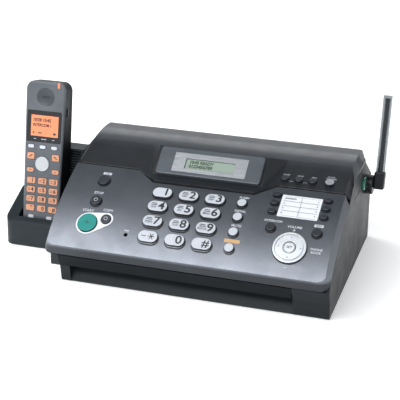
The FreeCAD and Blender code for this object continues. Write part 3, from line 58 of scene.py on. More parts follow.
# The design's own frame: x from the cabinet's middle, y from the line of its front foot and z
# from the table. Places and sizes are in millimetres of it, unless a line says metres.
FOOT_TO_BACK = 0.199     # metres, from the line of the front foot to the cabinet's back
ORIGIN = Vector(((CABINET[0].x + CABINET[1].x) / 2, CABINET[1].y - FOOT_TO_BACK, 0.0))


def spot(x, y, z):
    """A place of the design's frame, as a vector in metres."""
    return ORIGIN + Vector((x, y, z)) / 1000.0


# ---------------------------------------------------------------- local frames
def turned(degrees, axis="Z"):
    """A turn about one axis of a frame."""
    return Matrix.Rotation(math.radians(degrees), 4, axis)


def shifted(place, x, y, z=0.0):
    """The same frame, moved by millimetres along its own axes."""
    return place @ Matrix.Translation(Vector((x, y, z)) / 1000)


def tilted(place, degrees):
    """A frame at a place whose y axis climbs by that many degrees and z leaves the surface."""
    return Matrix.Translation(place) @ turned(degrees, "X")


# The machine's profile from the side, as (y, z): the panel's arc runs up to the front of the top
# cover's flat band.
BAND_FRONT, BAND_BACK = (73.7, 98.8), (117.0, 111.2)
PANEL_FRONT, PANEL_BACK = Vector((-12.7, 44.8)), Vector(BAND_FRONT)
PANEL_CROWN = 6.0        # height of the arc over its chord
CHORD = (PANEL_BACK - PANEL_FRONT).length
PANEL_RADIUS = (CHORD ** 2 / 4 + PANEL_CROWN ** 2) / (2 * PANEL_CROWN)
PANEL_HALF = math.asin(CHORD / 2 / PANEL_RADIUS)
PANEL_SLOPE = math.atan2(PANEL_BACK.y - PANEL_FRONT.y, PANEL_BACK.x - PANEL_FRONT.x)
PANEL_LENGTH = 2 * PANEL_HALF * PANEL_RADIUS


def panel_frame(x, s, lift=0.0):
    """The frame on the panel's skin at x, and s along its curve from the front edge."""
    angle = PANEL_SLOPE + PANEL_HALF - s / PANEL_RADIUS
    middle = (PANEL_FRONT + PANEL_BACK) / 2
    normal = Vector((-math.sin(PANEL_SLOPE), math.cos(PANEL_SLOPE)))
    centre = middle - normal * (PANEL_RADIUS - PANEL_CROWN)
    reach = PANEL_RADIUS + lift
    y = centre.x - math.sin(angle) * reach
    z = centre.y + math.cos(angle) * reach
    return tilted(spot(x, y, z), math.degrees(angle))


def panel_s(y):
    """Distance along the panel's curve of the point whose y is given."""
    low, high = 0.0, PANEL_LENGTH
    for _ in range(30):
        half = (low + high) / 2
        if (panel_frame(0.0, half).translation - ORIGIN).y * 1000 < y:
            low = half
        else:
            high = half
    return low


BAND_SLOPE = math.degrees(math.atan2(BAND_BACK[1] - BAND_FRONT[1], BAND_BACK[0] - BAND_FRONT[0]))


def band_height(y):
    """The height of the flat band's skin over the table."""
    return BAND_FRONT[1] + (y - BAND_FRONT[0]) * math.tan(math.radians(BAND_SLOPE))


def band_frame(x, y):
    """The frame on the top cover's flat band."""
    return tilted(spot(x, y, band_height(y)), BAND_SLOPE)


# The foot line of the display pod's face, as (y, z), and how many degrees the face climbs.
DISPLAY_FOOT, DISPLAY_SLOPE = (69.44, 97.08), 37.0


def display_frame(x, along, lift=0.0):
    """The frame on the display pod's sloping face, along from the line of its foot."""
    return shifted(tilted(spot(0.0, *DISPLAY_FOOT), DISPLAY_SLOPE), x, along, lift)


# The foot of the handset's face, and how many degrees it leans back.
HANDSET_FOOT, HANDSET_LEAN = (-188.4, 74.0, 28.0), 13.0


def handset_frame(x, along, depth=0.0):
    """On the handset's face: x across, y up its length, z out of its face."""
    base = Matrix.Translation(spot(*HANDSET_FOOT)) @ turned(-HANDSET_LEAN, "X") @ turned(90.0, "X")
    return shifted(base, x, along, -depth)


# ---------------------------------------------------------------- materials
PLAIN = (1.0, 1.0, 1.0)  # the tint that changes nothing
Y_AXIS, Z_AXIS = (0.0, 1.0, 0.0), (0.0, 0.0, 1.0)


def shade_nodes(name):
    """A new material with its node tree and its main shader."""
    made = bpy.data.materials.new(name)
    made.use_nodes = True
    tree = made.node_tree
    return made, tree, tree.nodes["Principled BSDF"]


def noise(tree, scale, detail=2.0, stretch=(1.0, 1.0, 1.0)):
    """Noise over the piece's own coordinates, with scale in cells per metre."""
    coord = tree.nodes.new("ShaderNodeTexCoord")
    place = tree.nodes.new("ShaderNodeMapping")
    place.inputs["Scale"].default_value = stretch
    grain = tree.nodes.new("ShaderNodeTexNoise")
    grain.inputs["Scale"].default_value = scale
    grain.inputs["Detail"].default_value = detail
    tree.links.new(coord.outputs["Object"], place.inputs["Vector"])
    tree.links.new(place.outputs["Vector"], grain.inputs["Vector"])
    return grain.outputs["Fac"]


def remap(tree, value, from_low, from_high, to_low=0.0, to_high=1.0):
    """Map one range of a value onto another, and hold it at the ends."""
    ranged = tree.nodes.new("ShaderNodeMapRange")
    ranged.inputs["From Min"].default_value = from_low
    ranged.inputs["From Max"].default_value = from_high
    ranged.inputs["To Min"].default_value = to_low
    ranged.inputs["To Max"].default_value = to_high
    tree.links.new(value, ranged.inputs["Value"])
    return ranged.outputs["Result"]


NOISE_RANGE = (0.3, 0.7)  # most of a noise texture's values lie between these


def spread(tree, value, low, high):
    """Map a noise value onto the range low to high."""
    return remap(tree, value, *NOISE_RANGE, low, high)


def ramp(tree, value, stops):
    """A colour ramp over (position, colour) stops."""
    node = tree.nodes.new("ShaderNodeValToRGB")
    while len(node.color_ramp.elements) < len(stops):
        node.color_ramp.elements.new(0.5)
    for element, (position, colour) in zip(node.color_ramp.elements, stops):
        element.position = position
        element.color = (*colour, 1.0)
    tree.links.new(value, node.inputs["Fac"])
    return node.outputs["Color"]


def drifting(tree, value, dark, light):
    """A colour that wanders from one tone to another with a noise value."""
    return ramp(tree, value, list(zip(NOISE_RANGE, (dark, light))))


def bump(tree, shader, value, strength, distance, soft=0.0):
    """A fine relief of the surface, with its edges rounded over a radius of soft metres."""
    node = tree.nodes.new("ShaderNodeBump")
    node.inputs["Strength"].default_value = strength
    node.inputs["Distance"].default_value = distance
    tree.links.new(value, node.inputs["Height"])
    if soft > 0:
        edge = tree.nodes.new("ShaderNodeBevel")
        edge.samples = 4
        edge.inputs["Radius"].default_value = soft
        tree.links.new(edge.outputs["Normal"], node.inputs["Normal"])
    tree.links.new(node.outputs["Normal"], shader.inputs["Normal"])


def shade(colour, factor):
    """A colour made lighter or darker."""
    return tuple(min(1.0, c * factor) for c in colour)


def multiply(tree, tone, other):
    """One colour tinted by another."""
    mix = tree.nodes.new("ShaderNodeMix")
    mix.data_type = "RGBA"
    mix.blend_type = "MULTIPLY"
    mix.inputs["Factor"].default_value = 1.0
    tree.links.new(tone, mix.inputs["A"])
    tree.links.new(other, mix.inputs["B"])
    return mix.outputs["Result"]


def measured(tree, kind, direction):
    """The part of a coordinate, Object or Normal, that lies along a direction of the part."""
    coord = tree.nodes.new("ShaderNodeTexCoord")
    dot = tree.nodes.new("ShaderNodeVectorMath")
    dot.operation = "DOT_PRODUCT"
    dot.inputs[1].default_value = direction
    tree.links.new(coord.outputs[kind], dot.inputs[0])
    return dot.outputs["Value"]


def across(tree, direction, start, end):
    """0 to 1 along a direction of the part, from one distance to another in metres."""
    return remap(tree, measured(tree, "Object", direction), start, end)


def facing(tree, direction):
    """1 where a surface faces a direction of the part, 0 where it stands square to it."""
    return measured(tree, "Normal", direction)


def plastic(name, colour, rough=0.45, metal=0.0, vary=0.10, grain=1600.0, depth=0.00004,
            soft=0.0004, coat=0.0, fleck=0.0, subsurface=0.0, strength=0.35, gloss=0.5,
            fade=None, painted_side_shade=None):
    """Moulded plastic: a slight colour drift, a fine texture, and optional metallic fleck.

    fade is (direction, start, end, stops): a further tint along a direction of the part; on the
    cover and the panel it is painted shade and light, on the handset it is its darker rim.
    The last argument is (direction, tint): painted shade, a tint of the faces that turn away from
    a direction, such as the sides of keys.
    grain and fleck are fine noises of that many cells per metre, and depth and soft are metres."""
    made, tree, shader = shade_nodes(name)
    drift = noise(tree, 22.0, 3.0)
    tone = drifting(tree, drift, shade(colour, 1 - vary), shade(colour, 1 + vary))
    if fade:
        direction, start, end, tints = fade
        tone = multiply(tree, tone, ramp(tree, across(tree, direction, start, end), tints))
    # painted shade on the faces that turn away from the direction
    if painted_side_shade:
        direction, tint = painted_side_shade
        tone = multiply(tree, tone, ramp(tree, facing(tree, direction), [
            (0.62, tint), (0.84, PLAIN)]))
    fine = noise(tree, grain, 2.0)
    if fleck > 0:
        tone = multiply(tree, tone, ramp(tree, noise(tree, grain * 1.7, 1.0), [
            (0.40, (1.0 - fleck,) * 3), (0.66, (1.0 + fleck,) * 3)]))
    tree.links.new(tone, shader.inputs["Base Color"])
    tree.links.new(spread(tree, noise(tree, 60.0, 3.0), rough - 0.05, rough + 0.05),
                   shader.inputs["Roughness"])
    bump(tree, shader, fine, strength, depth, soft)
    shader.inputs["Metallic"].default_value = metal
    shader.inputs["Specular IOR Level"].default_value = gloss
    shader.inputs["Coat Weight"].default_value = coat
    shader.inputs["Coat Roughness"].default_value = 0.12
    if subsurface > 0:
        shader.inputs["Subsurface Weight"].default_value = subsurface
        shader.inputs["Subsurface Radius"].default_value = (0.003, 0.003, 0.003)
    return made


def brushed(name, colour, rough=0.32, stretch=(1.0, 60.0, 60.0)):
    """Sheet or turned metal with fine lines along one axis."""
    made, tree, shader = shade_nodes(name)
    lines = noise(tree, 90.0, 4.0, stretch)
    tree.links.new(drifting(tree, lines, shade(colour, 0.86), shade(colour, 1.1)),
                   shader.inputs["Base Color"])
    tree.links.new(spread(tree, lines, rough - 0.06, rough + 0.08), shader.inputs["Roughness"])
    bump(tree, shader, lines, 0.25, 0.00003, soft=0.0003)
    shader.inputs["Metallic"].default_value = 0.9
    return made


def glow(name, colour, power):
    """A lit legend or display: the same plastic with a soft light of its own."""
    made = plastic(name, colour, rough=0.35, vary=0.05, coat=0.5)
    shader = made.node_tree.nodes["Principled BSDF"]
    shader.inputs["Emission Color"].default_value = (*colour, 1.0)
    shader.inputs["Emission Strength"].default_value = power
    return made


def clear(name, colour):
    """Clear moulded tube with fine drawing lines."""
    made, tree, shader = shade_nodes(name)
    lines = noise(tree, 220.0, 2.0, (1.0, 1.0, 0.05))
    tree.links.new(drifting(tree, lines, shade(colour, 0.9), shade(colour, 1.05)),
                   shader.inputs["Base Color"])
    tree.links.new(spread(tree, lines, 0.06, 0.12), shader.inputs["Roughness"])
    bump(tree, shader, lines, 0.1, 0.00002)
    shader.inputs["Transmission Weight"].default_value = 0.92
    shader.inputs["IOR"].default_value = 1.45
    return made


def banded(name, low, high, stops):
    """A material whose colour changes between two heights, in metres."""
    made, tree, shader = shade_nodes(name)
    tree.links.new(ramp(tree, across(tree, Z_AXIS, low, high), stops),
                   shader.inputs["Base Color"])
    fine = noise(tree, 900.0, 3.0)
    tree.links.new(spread(tree, fine, 0.42, 0.58), shader.inputs["Roughness"])
    bump(tree, shader, fine, 0.3, 0.00004)
    return made


FACE = handset_frame(0.0, 100.0)
FACE_OUT = FACE.col[2].to_3d()             # the way the handset's face looks
FACE_AT = FACE.translation.dot(FACE_OUT)   # how far out that face lies, in metres
PANEL_OUT = panel_frame(0.0, 48.0).col[2].to_3d()   # the way the panel looks, near its middle
FACE_TINT = (0.04, 0.05, 0.05)             # the handset's rim, behind its face
# Where painted shade and light go, in metres: y at the cover's front edge, over which painted
# shade darkens the cover, and z from the panel's foot to its head, over which painted light runs.
LID_PAINTED_SHADE, PANEL_PAINTED_LIGHT = (0.014, 0.026), (0.040, 0.100)
MATERIALS = {
    # the cover's colour is darkened by painted shade along its front edge, by the seam to the
    # panel
    "lid": plastic("lid_satin", (0.030, 0.036, 0.044), 0.36, 0.25, fleck=0.30, coat=0.26,
                   fade=(Y_AXIS, *LID_PAINTED_SHADE, [(0.0, (0.40, 0.41, 0.43)), (1.0, PLAIN)])),
    # painted light on the panel: darker on its front skirt, brightest near its foot, darker
    # towards its head
    "panel": plastic("panel_metallic", (0.175, 0.192, 0.222), 0.40, 0.55, fleck=0.22,
                     grain=1900.0, fade=(Z_AXIS, *PANEL_PAINTED_LIGHT, [
                         (0.02, (0.20, 0.21, 0.22)), (0.085, PLAIN),
                         (0.38, (0.80, 0.80, 0.80)), (0.95, (0.42, 0.43, 0.44))])),
    "cabinet": plastic("cabinet_texture", (0.008, 0.012, 0.015), 0.48, grain=1300.0,
                       depth=0.00008, gloss=0.26),
    "band": plastic("band_texture", (0.004, 0.007, 0.009), 0.46, grain=1300.0,
                    depth=0.00006, gloss=0.12),
    "cradle": plastic("cradle_texture", (0.012, 0.019, 0.023), 0.46, grain=1300.0,
                      depth=0.00008, gloss=0.3),
    "bezel": plastic("bezel_metallic", (0.092, 0.106, 0.122), 0.36, 0.45, fleck=0.2),
    "plate": brushed("plate_brushed", (0.55, 0.57, 0.61)),
    "lcd": plastic("lcd_film", (0.25, 0.315, 0.265), 0.30, vary=0.05, coat=0.6, grain=2600.0),
    # the key's sides are darkened with painted shade
    "white_key": plastic("white_key", (0.47, 0.50, 0.55), 0.30, vary=0.03, coat=0.3,
                         subsurface=0.02, painted_side_shade=(PANEL_OUT, (0.10, 0.11, 0.12))),
    "silver_cap": plastic("silver_cap", (0.30, 0.32, 0.35), 0.34, 0.2, vary=0.05, coat=0.2),
    "white_cap": plastic("white_cap", (0.60, 0.64, 0.70), 0.32, vary=0.03, coat=0.3),
    # lighter than the cabinet: painted highlight for the lit upper faces of the grille's ribs
    "rib": plastic("rib_painted_highlight", (0.050, 0.060, 0.066), 0.40, grain=1300.0),
    "dark_key": plastic("dark_key", (0.022, 0.026, 0.032), 0.36, vary=0.10, coat=0.25),
    # its sides are darkened with painted shade
    "green_key": plastic("green_key", (0.006, 0.205, 0.185), 0.28, vary=0.08, coat=0.2,
                         gloss=0.3, painted_side_shade=(PANEL_OUT, (0.2, 0.2, 0.2))),
    # its sides are darkened with painted shade
    "ring": plastic("ring_silver", (0.70, 0.74, 0.78), 0.30, 0.45, vary=0.05, fleck=0.06,
                    painted_side_shade=(PANEL_OUT, (0.12, 0.13, 0.14))),
    "release": plastic("release_green", (0.006, 0.14, 0.085), 0.16, vary=0.10, coat=0.8),
    "card": plastic("card_paper", (0.72, 0.75, 0.79), 0.32, vary=0.03, coat=0.5,
                    grain=900.0),
    "black": plastic("black_texture", (0.010, 0.011, 0.014), 0.40, grain=1500.0, gloss=0.4),
    "clear": clear("clear_sleeve", (0.26, 0.29, 0.31)),
    "rod": brushed("rod_metal", (0.06, 0.06, 0.065), 0.35, (60.0, 60.0, 1.0)),
    "handset": plastic("handset_satin", (0.135, 0.148, 0.165), 0.42, 0.2, fleck=0.15,
                       gloss=0.18, fade=(FACE_OUT, FACE_AT - 0.005, FACE_AT - 0.001, [
                           (0.0, FACE_TINT), (0.45, FACE_TINT), (0.75, PLAIN)])),
    "handset_back": plastic("handset_back_texture", (0.005, 0.007, 0.008), 0.42,
                            grain=1400.0, gloss=0.10),
    # darker than the handset: painted shade in the earpiece dish
    "dish": plastic("dish_painted_shade", (0.060, 0.068, 0.078), 0.45, 0.2, fleck=0.15),
    "window": plastic("window_gloss", (0.006, 0.007, 0.009), 0.10, vary=0.2, coat=1.0,
                      strength=0.05),
    "orange_key": glow("orange_key", (0.64, 0.30, 0.175), 0.06),
    "orange_lcd": glow("orange_lcd", (0.82, 0.265, 0.125), 0.14),
    "nav": plastic("nav_satin", (0.58, 0.61, 0.64), 0.34, 0.30, vary=0.01, strength=0.1),
    "orange_print": plastic("orange_print", (0.52, 0.32, 0.15), 0.5),
    "print_light": plastic("print_light", (0.52, 0.55, 0.60), 0.5, vary=0.05),
    "print_dark": plastic("print_dark", (0.014, 0.016, 0.020), 0.5, vary=0.2),
    "print_grey": plastic("print_grey", (0.26, 0.28, 0.32), 0.5, vary=0.1),
    "lcd_print": plastic("lcd_print", (0.035, 0.055, 0.035), 0.5, vary=0.2),
    "surround": plastic("surround_white", (0.70, 0.73, 0.76), 0.35, vary=0.03, coat=0.2),
    "rubber": plastic("rubber_matt", (0.018, 0.018, 0.019), 0.72, grain=700.0,
                      depth=0.0001),
    "roller": plastic("roller_rubber", (0.030, 0.030, 0.032), 0.62, grain=1800.0),
    "steel": brushed("zinc_steel", (0.55, 0.56, 0.57), 0.34),
    "frame": plastic("frame_black", (0.022, 0.023, 0.025), 0.55, grain=900.0,
                     depth=0.00008),
    "chute": plastic("chute_black", (0.030, 0.032, 0.035), 0.50, grain=1100.0),
    "gear": plastic("gear_acetal", (0.70, 0.69, 0.62), 0.38, vary=0.05, subsurface=0.15),
    "paper": plastic("paper_roll", (0.84, 0.84, 0.82), 0.75, vary=0.03, grain=420.0,
                     depth=0.0001),
    "head": brushed("head_ceramic", (0.60, 0.58, 0.52), 0.35, (1.0, 40.0, 40.0)),
    "contact": brushed("contact_gold", (0.72, 0.52, 0.20), 0.28),
    "battery": plastic("battery_sleeve", (0.03, 0.10, 0.26), 0.30, vary=0.08, coat=0.6),
    "board": banded("board_lacquer", 0.0088, 0.0226, [
        (0.0, (0.012, 0.10, 0.035)), (0.14, (0.012, 0.12, 0.04)), (0.16, (0.02, 0.02, 0.022)),
        (0.34, (0.025, 0.025, 0.03)), (0.36, (0.02, 0.025, 0.06)), (0.97, (0.02, 0.03, 0.08)),
        (1.0, (0.5, 0.5, 0.5))]),
}

FINISH = {
    "top_cover": "lid", "front_cover": "panel", "lower_cabinet": "cabinet",
    "exit_band": "band", "rear_deck": "cabinet", "handset_cradle": "cradle",
    "display_bezel": "bezel", "display_plate": "plate", "display_module": "lcd",
    "directory_card": "card", "start_key": "green_key", "copy_key": "dark_key",
    "stop_key": "dark_key", "locator_key": "dark_key", "function_keys": "white_key",
    "memory_keys": "dark_key", "answering_keys": "dark_key", "navigator_ring": "ring",
    "set_key": "ring", "release_button": "release", "antenna_base": "black",
    "antenna_elbow": "black", "antenna_rod": "rod", "antenna_sleeve": "clear",
    "handset_front": "handset", "handset_back": "handset_back",
    "handset_window": "window", "handset_navigator": "nav", "handset_keys": "orange_key",
    "handset_battery": "battery", "rubber_feet": "rubber", "case_screws": "steel",
    "side_frames": "frame", "document_chute": "chute", "thermal_head": "head",
    "main_board": "board", "drive_motor": "steel", "rear_sockets": "black",
    "speaker": "black", "charge_contacts": "contact", "platen_roller": "roller",
    "platen_gear": "gear", "pinch_roller": "roller", "paper_roll": "paper",
    "motor_pinion": "gear", "idler_gear": "gear", "document_guide_left": "band",
    "document_guide_right": "band",
}
for node in NODES:
    finish = MATERIALS[FINISH.get(node, "white_key")]    # the dial's keys aren't listed
    NODES[node].data.materials.clear()
    NODES[node].data.materials.append(finish)


# ---------------------------------------------------------------- pieces
SUNK, PROUD = -0.05, 0.06    # a printed mark starts below its skin and stands above it
CAPITAL = 0.72               # height of a capital letter over the font's size
POINT = 0.01                 # the inner radius of a ring that is drawn as a disc


def circle(x, y, radius, steps):
    """The points of a circle round a middle."""
    return [(x + radius * math.cos(math.tau * k / steps),
             y + radius * math.sin(math.tau * k / steps)) for k in range(steps)]


def arc(x, y, radius, start, sweep, steps):
    """The points of an arc, with its angles in radians."""
    return [(x + radius * math.cos(start + sweep * k / steps),
             y + radius * math.sin(start + sweep * k / steps)) for k in range(steps + 1)]


def rounded(wide, tall, radius, steps=8):
    """The outline of a rounded rectangle round its middle."""
    outline = []
    for side_x, side_y, start in ((1, -1, -90), (1, 1, 0), (-1, 1, 90), (-1, -1, 180)):
        for step in range(steps + 1):
            a = math.radians(start + 90.0 * step / steps)
            outline.append((side_x * (wide / 2 - radius) + radius * math.cos(a),
                            side_y * (tall / 2 - radius) + radius * math.sin(a)))
    return outline


class Print:
    """Collects letters, marks and thin shapes that ride on one body as one piece."""

    def __init__(self, name, body, finish_name, slot):
        self.name, self.body, self.finish_name, self.slot = name, body, finish_name, slot
        self.mesh = bmesh.new()

    def text(self, words, size, place, shear=0.0, bold=0.0, wide=1.0):
        """Letters whose capitals are size tall, centred on a frame and just proud of it."""
        curve = bpy.data.curves.new(self.name + "_text", "FONT")
        curve.body = words
        curve.size = size / CAPITAL / 1000
        curve.align_x = "CENTER"
        curve.align_y = "CENTER"
        curve.shear = shear
        curve.offset = bold / 1000
        curve.extrude = 0.00005
        curve.resolution_u = 3
        holder = bpy.data.objects.new(self.name + "_text", curve)
        bpy.context.scene.collection.objects.link(holder)
        bpy.context.view_layer.update()
        letters = bpy.data.meshes.new_from_object(
            holder.evaluated_get(bpy.context.evaluated_depsgraph_get()))
        letters.transform(place @ Matrix.Diagonal((wide, 1.0, 1.0, 1.0)))
        self.mesh.from_mesh(letters)
        bpy.data.objects.remove(holder)
        bpy.data.curves.remove(curve)
        bpy.data.meshes.remove(letters)

    def slab(self, outline, place, high=PROUD, low=SUNK):
        """A thin prism over an outline, in the frame's own plane."""
        rings = []
        for level in (low, high):
            rings.append([self.mesh.verts.new(place @ (Vector((x, y, level)) / 1000))
                          for x, y in outline])
        self.mesh.faces.new(rings[1])
        self.mesh.faces.new(list(reversed(rings[0])))
        for index in range(len(outline)):
            after = (index + 1) % len(outline)
            self.mesh.faces.new((rings[0][index], rings[0][after], rings[1][after],
                                 rings[1][index]))

    def bar(self, wide, tall, place, high=PROUD, low=SUNK):
        """A thin rectangle round the frame's origin."""
        self.slab([(-wide / 2, -tall / 2), (wide / 2, -tall / 2), (wide / 2, tall / 2),
                   (-wide / 2, tall / 2)], place, high, low)

    def strip(self, inner, outer, place, high=PROUD):
        """The flat strip between two closed outlines that have as many points."""
        for k in range(len(inner)):
            after = (k + 1) % len(inner)
            self.slab([outer[k], outer[after], inner[after], inner[k]], place, high)

    def ring(self, inner, outer, place, high=PROUD, steps=40):
        """A flat ring round the frame's origin."""
        self.strip(circle(0.0, 0.0, inner, steps), circle(0.0, 0.0, outer, steps), place, high)

    def done(self, smooth=False):
        """Make the piece, and put it on its body."""
        if not smooth:
            bmesh.ops.recalc_face_normals(self.mesh, faces=self.mesh.faces)
        for face in self.mesh.faces:
            face.smooth = smooth
        data = bpy.data.meshes.new(self.name)
        self.mesh.to_mesh(data)
        self.mesh.free()
        data.materials.append(MATERIALS[self.finish_name])
        piece = bpy.data.objects.new(self.name, data)
        bpy.context.scene.collection.objects.link(piece)
        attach(piece, self.body)


def face_frame(node, lift=0.0):
    """The frame on top of a key, from its node's box and its joint's axis."""
    joint = JOINTS[node + "_body"]
    out = -Vector(joint["axis"]).normalized()
    points = [v.co for v in NODES[node].data.vertices]
    top = max(p.dot(out) for p in points)
    low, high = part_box(node)
    middle = (low + high) / 2
    base = middle + out * (top - middle.dot(out))
    slope = math.degrees(math.atan2(-out.y, out.z))
    return tilted(base + out * (lift / 1000), slope)


DIAL_LETTERS = {"2": "ABC", "3": "DEF", "4": "GHI", "5": "JKL", "6": "MNO", "7": "PQRS",
                "8": "TUV", "9": "WXYZ"}


def dial_prints():
    """The digits, letters and marks of the dial keys, with bars for their finest lines."""
    for label in (*"1234567890", "star", "hash"):
        made = Print("digit_" + label, "key_%s_body" % label, "print_dark", "key_white")
        place = face_frame("key_" + label)
        if label == "star":
            for angle in (0.0, 60.0, 120.0):
                made.bar(7.0, 0.8, shifted(place, 3.6, 0.0) @ turned(angle))
            made.bar(5.0, 0.7, shifted(place, -4.4, 0.0))
        elif label == "hash":
            made.text("#", 8.0, shifted(place, 4.0, 0.0), bold=0.18, wide=1.12)
        else:
            made.text(label, 8.8, shifted(place, 4.2, 0.0), bold=0.24, wide=1.12)
        if label in DIAL_LETTERS:
            made.text(DIAL_LETTERS[label], 2.2, shifted(place, -3.6, -1.8), bold=0.06)
            for row, wide in ((0.9, 6.4), (2.7, 5.2)):
                made.bar(wide, 0.85, shifted(place, -3.6, row))
        made.done()


# Places on the panel, as x and the distance s up its curve.
START_X, START_S = -103.9, panel_s(8.1)
COPY_X, COPY_S = -86.1, panel_s(13.4)
RING_X, RING_S = 101.8, panel_s(10.0)
DIAL_FIRST, DIAL_PITCH = 21.9, 17.46     # s of the lowest dial row, and from row to row
OVER_KEY = 7.6                           # from a small key's middle up to its legend
LEGEND_SCALE = 1.15                      # the panel's words are drawn a little larger
PLAQUES = ((-103.5, panel_s(53.9) + 10.2), (124.2, panel_s(26.5) + 8.4))


def dial_row(row):
    """The s of a row of the dial, counted from the lowest."""
    return DIAL_FIRST + row * DIAL_PITCH


def panel_prints():
    """The legends on the panel's skin: light words, two plaques and an orange bar."""
    light = Print("panel_legends", "panel", "print_light", "panel_grey")
    for words, size, x, s in (
            ("STOP", 2.6, -103.6, panel_s(30.2) + 9.8),
            ("START", 2.5, -107.5, START_S + 14.2),
            ("COPY", 2.5, -87.0, COPY_S + 10.4),
            ("MIC", 1.9, -61.3, 25.2),
            ("MUTE", 2.4, 45.2, dial_row(1) + OVER_KEY),
            ("REDIAL", 2.2, 44.8, dial_row(2) + OVER_KEY),
            ("FLASH", 2.2, 44.6, dial_row(3) + OVER_KEY),
            ("INTERCOM", 2.2, 79.6, panel_s(26.6) + OVER_KEY),
            ("VOLUME", 2.3, RING_X, RING_S + 23.6),
            ("PHONE", 2.2, 127.2, RING_S + 2.2),
            ("BOOK", 2.2, 127.2, RING_S - 1.2)):
        light.text(words, size * LEGEND_SCALE, panel_frame(x, s), bold=0.07)
    light.text("+", 4.2, panel_frame(RING_X, RING_S + 19.8), bold=0.1)
    light.bar(2.6, 0.6, panel_frame(RING_X, RING_S - 20.0))
    for x, s in PLAQUES:
        light.bar(9.0, 3.2, panel_frame(x, s))
    light.done()
    dark = Print("panel_legends_dark", "panel", "print_dark", "panel_grey")
    for x, s in PLAQUES:
        dark.bar(6.6, 0.5, panel_frame(x, s + 0.7, 0.04))
        dark.bar(5.0, 0.5, panel_frame(x, s - 0.7, 0.04))
    dark.done()
    orange = Print("panel_orange_bar", "panel", "orange_print", "panel_grey")
    orange.bar(15.6, 3.9, panel_frame(45.0, dial_row(0) + 7.7))
    orange.done()


def start_surround():
    """The white pear-shaped plate round the start and copy keys."""
    made = Print("start_surround", "panel", "surround", "key_white")
    big, small = 11.9, 7.4
    step_x, step_s = COPY_X - START_X, COPY_S - START_S
    heading = math.atan2(step_s, step_x)
    lean = math.acos((big - small) / math.hypot(step_x, step_s))
    outer = arc(START_X, START_S, big, heading + lean, 2 * math.pi - 2 * lean, 40)
    outer += arc(COPY_X, COPY_S, small, heading - lean, 2 * lean, 20)
    place_plate(made, outer, [(START_X, START_S, 10.5), (COPY_X, COPY_S, 5.6)], 0.45)
    made.done()


def place_plate(made, outer, holes, high):
    """A thin plate that follows the panel's curve near the start key, with round holes."""
    work = made.mesh
    normal = panel_frame(-95.0, 12.0).col[2].to_3d()
    loops = [outer] + [circle(x, s, radius, 40) for x, s, radius in holes]
    edges = []
    for points in loops:
        verts = [work.verts.new(panel_frame(x, s, 0.02).translation) for x, s in points]
        edges += [work.edges.new((a, b)) for a, b in zip(verts, verts[1:] + verts[:1])]
    filled = bmesh.ops.triangle_fill(work, use_beauty=True, edges=edges, normal=normal)
    faces = [f for f in filled["geom"] if isinstance(f, bmesh.types.BMFace)]
    lifted = bmesh.ops.extrude_face_region(work, geom=faces)
    rise = normal * (high / 1000)
    for item in lifted["geom"]:
        if isinstance(item, bmesh.types.BMVert):
            item.co += rise


def key_icons():
    """Small printed marks on the round keys."""
    made = Print("start_mark", "start_key_body", "print_dark", "key_green")
    place = face_frame("start_key")
    for side in (-1.1, 1.1):
        made.bar(0.45, 3.2, shifted(place, side, 0.0) @ turned(45.0))
        made.bar(3.2, 0.45, shifted(place, 0.0, side) @ turned(45.0))
    made.done()
    for node in ("stop_key", "copy_key"):
        made = Print(node + "_mark", node + "_body", "print_light", "key_dark")
        made.ring(1.5, 2.0, face_frame(node))
        made.done()
    made = Print("set_mark", "set_key_body", "print_dark", "ring_silver")
    place = face_frame("set_key")
    made.text("SET", 2.5, place, bold=0.04)
    made.ring(5.0, 5.3, place)
    made.done()
    made = Print("ring_marks", "navigator_ring_body", "print_grey", "ring_silver")
    place = face_frame("navigator_ring", -0.35)
    for angle, (x, y) in zip((0.0, 90.0, 180.0, 270.0), circle(0.0, 0.0, 11.0, 4)):
        here = shifted(place, x, y) @ turned(angle)
        made.slab([(-0.8, -0.9), (0.8, 0.0), (-0.8, 0.9)], here, 0.42)
    made.done()


# keys that get no painted shadow round them
NO_KEY_SHADOW = ("navigator_ring", "set_key", "start_key", "copy_key")
KEY_SHADOW_SHIFT = 0.55     # the painted shadow of a rim is wider by this much, right and below
WELD = 0.00001        # metres: vertices in the same cell of this size are one
CAP_DEPTH = 0.0025    # metres below a key's highest point that still count as its cap


def painted_key_shadows():
    """Painted shadows round the panel's key holes: dark rims, wider where the light doesn't reach.
    """
    # black strips of painted shadow round each key
    made = Print("painted_key_shadows", "panel", "black", "panel_grey")
    for body, joint in JOINTS.items():
        node = body.removesuffix("_body")
        if joint["parent"] != "panel" or node in NO_KEY_SHADOW:
            continue
        for x, y, wide, tall in key_spots(node):
            corner = min(wide, tall) / 2
            inner = rounded(wide + 0.2, tall + 0.2, corner)
            outer = [(a * (1 + 1.0 / wide) + KEY_SHADOW_SHIFT, b * (1 + 1.0 / tall) - KEY_SHADOW_SHIFT)
                     for a, b in rounded(wide + 0.9, tall + 0.9, corner + 0.4)]
            made.strip(inner, outer, panel_frame(x, panel_s(y)), 0.10)
    made.done()


def key_spots(node):
    """Middle and size of each key of a node, as (x, y, width, height) on the panel."""
    found = []
    out = -Vector(JOINTS[node + "_body"]["axis"]).normalized()
    for part in loose_parts(NODES[node].data):
        top = max(co.dot(out) for co in part)
        cap = [co for co in part if co.dot(out) > top - CAP_DEPTH]
        x0, x1 = min(co.x for co in cap), max(co.x for co in cap)
        y0, y1 = min(co.y for co in cap), max(co.y for co in cap)
        middle = (Vector(((x0 + x1) / 2, (y0 + y1) / 2, 0)) - ORIGIN) * 1000
        found.append((middle.x, middle.y, (x1 - x0) * 1000, (y1 - y0) * 1000 / out.z))
    return found


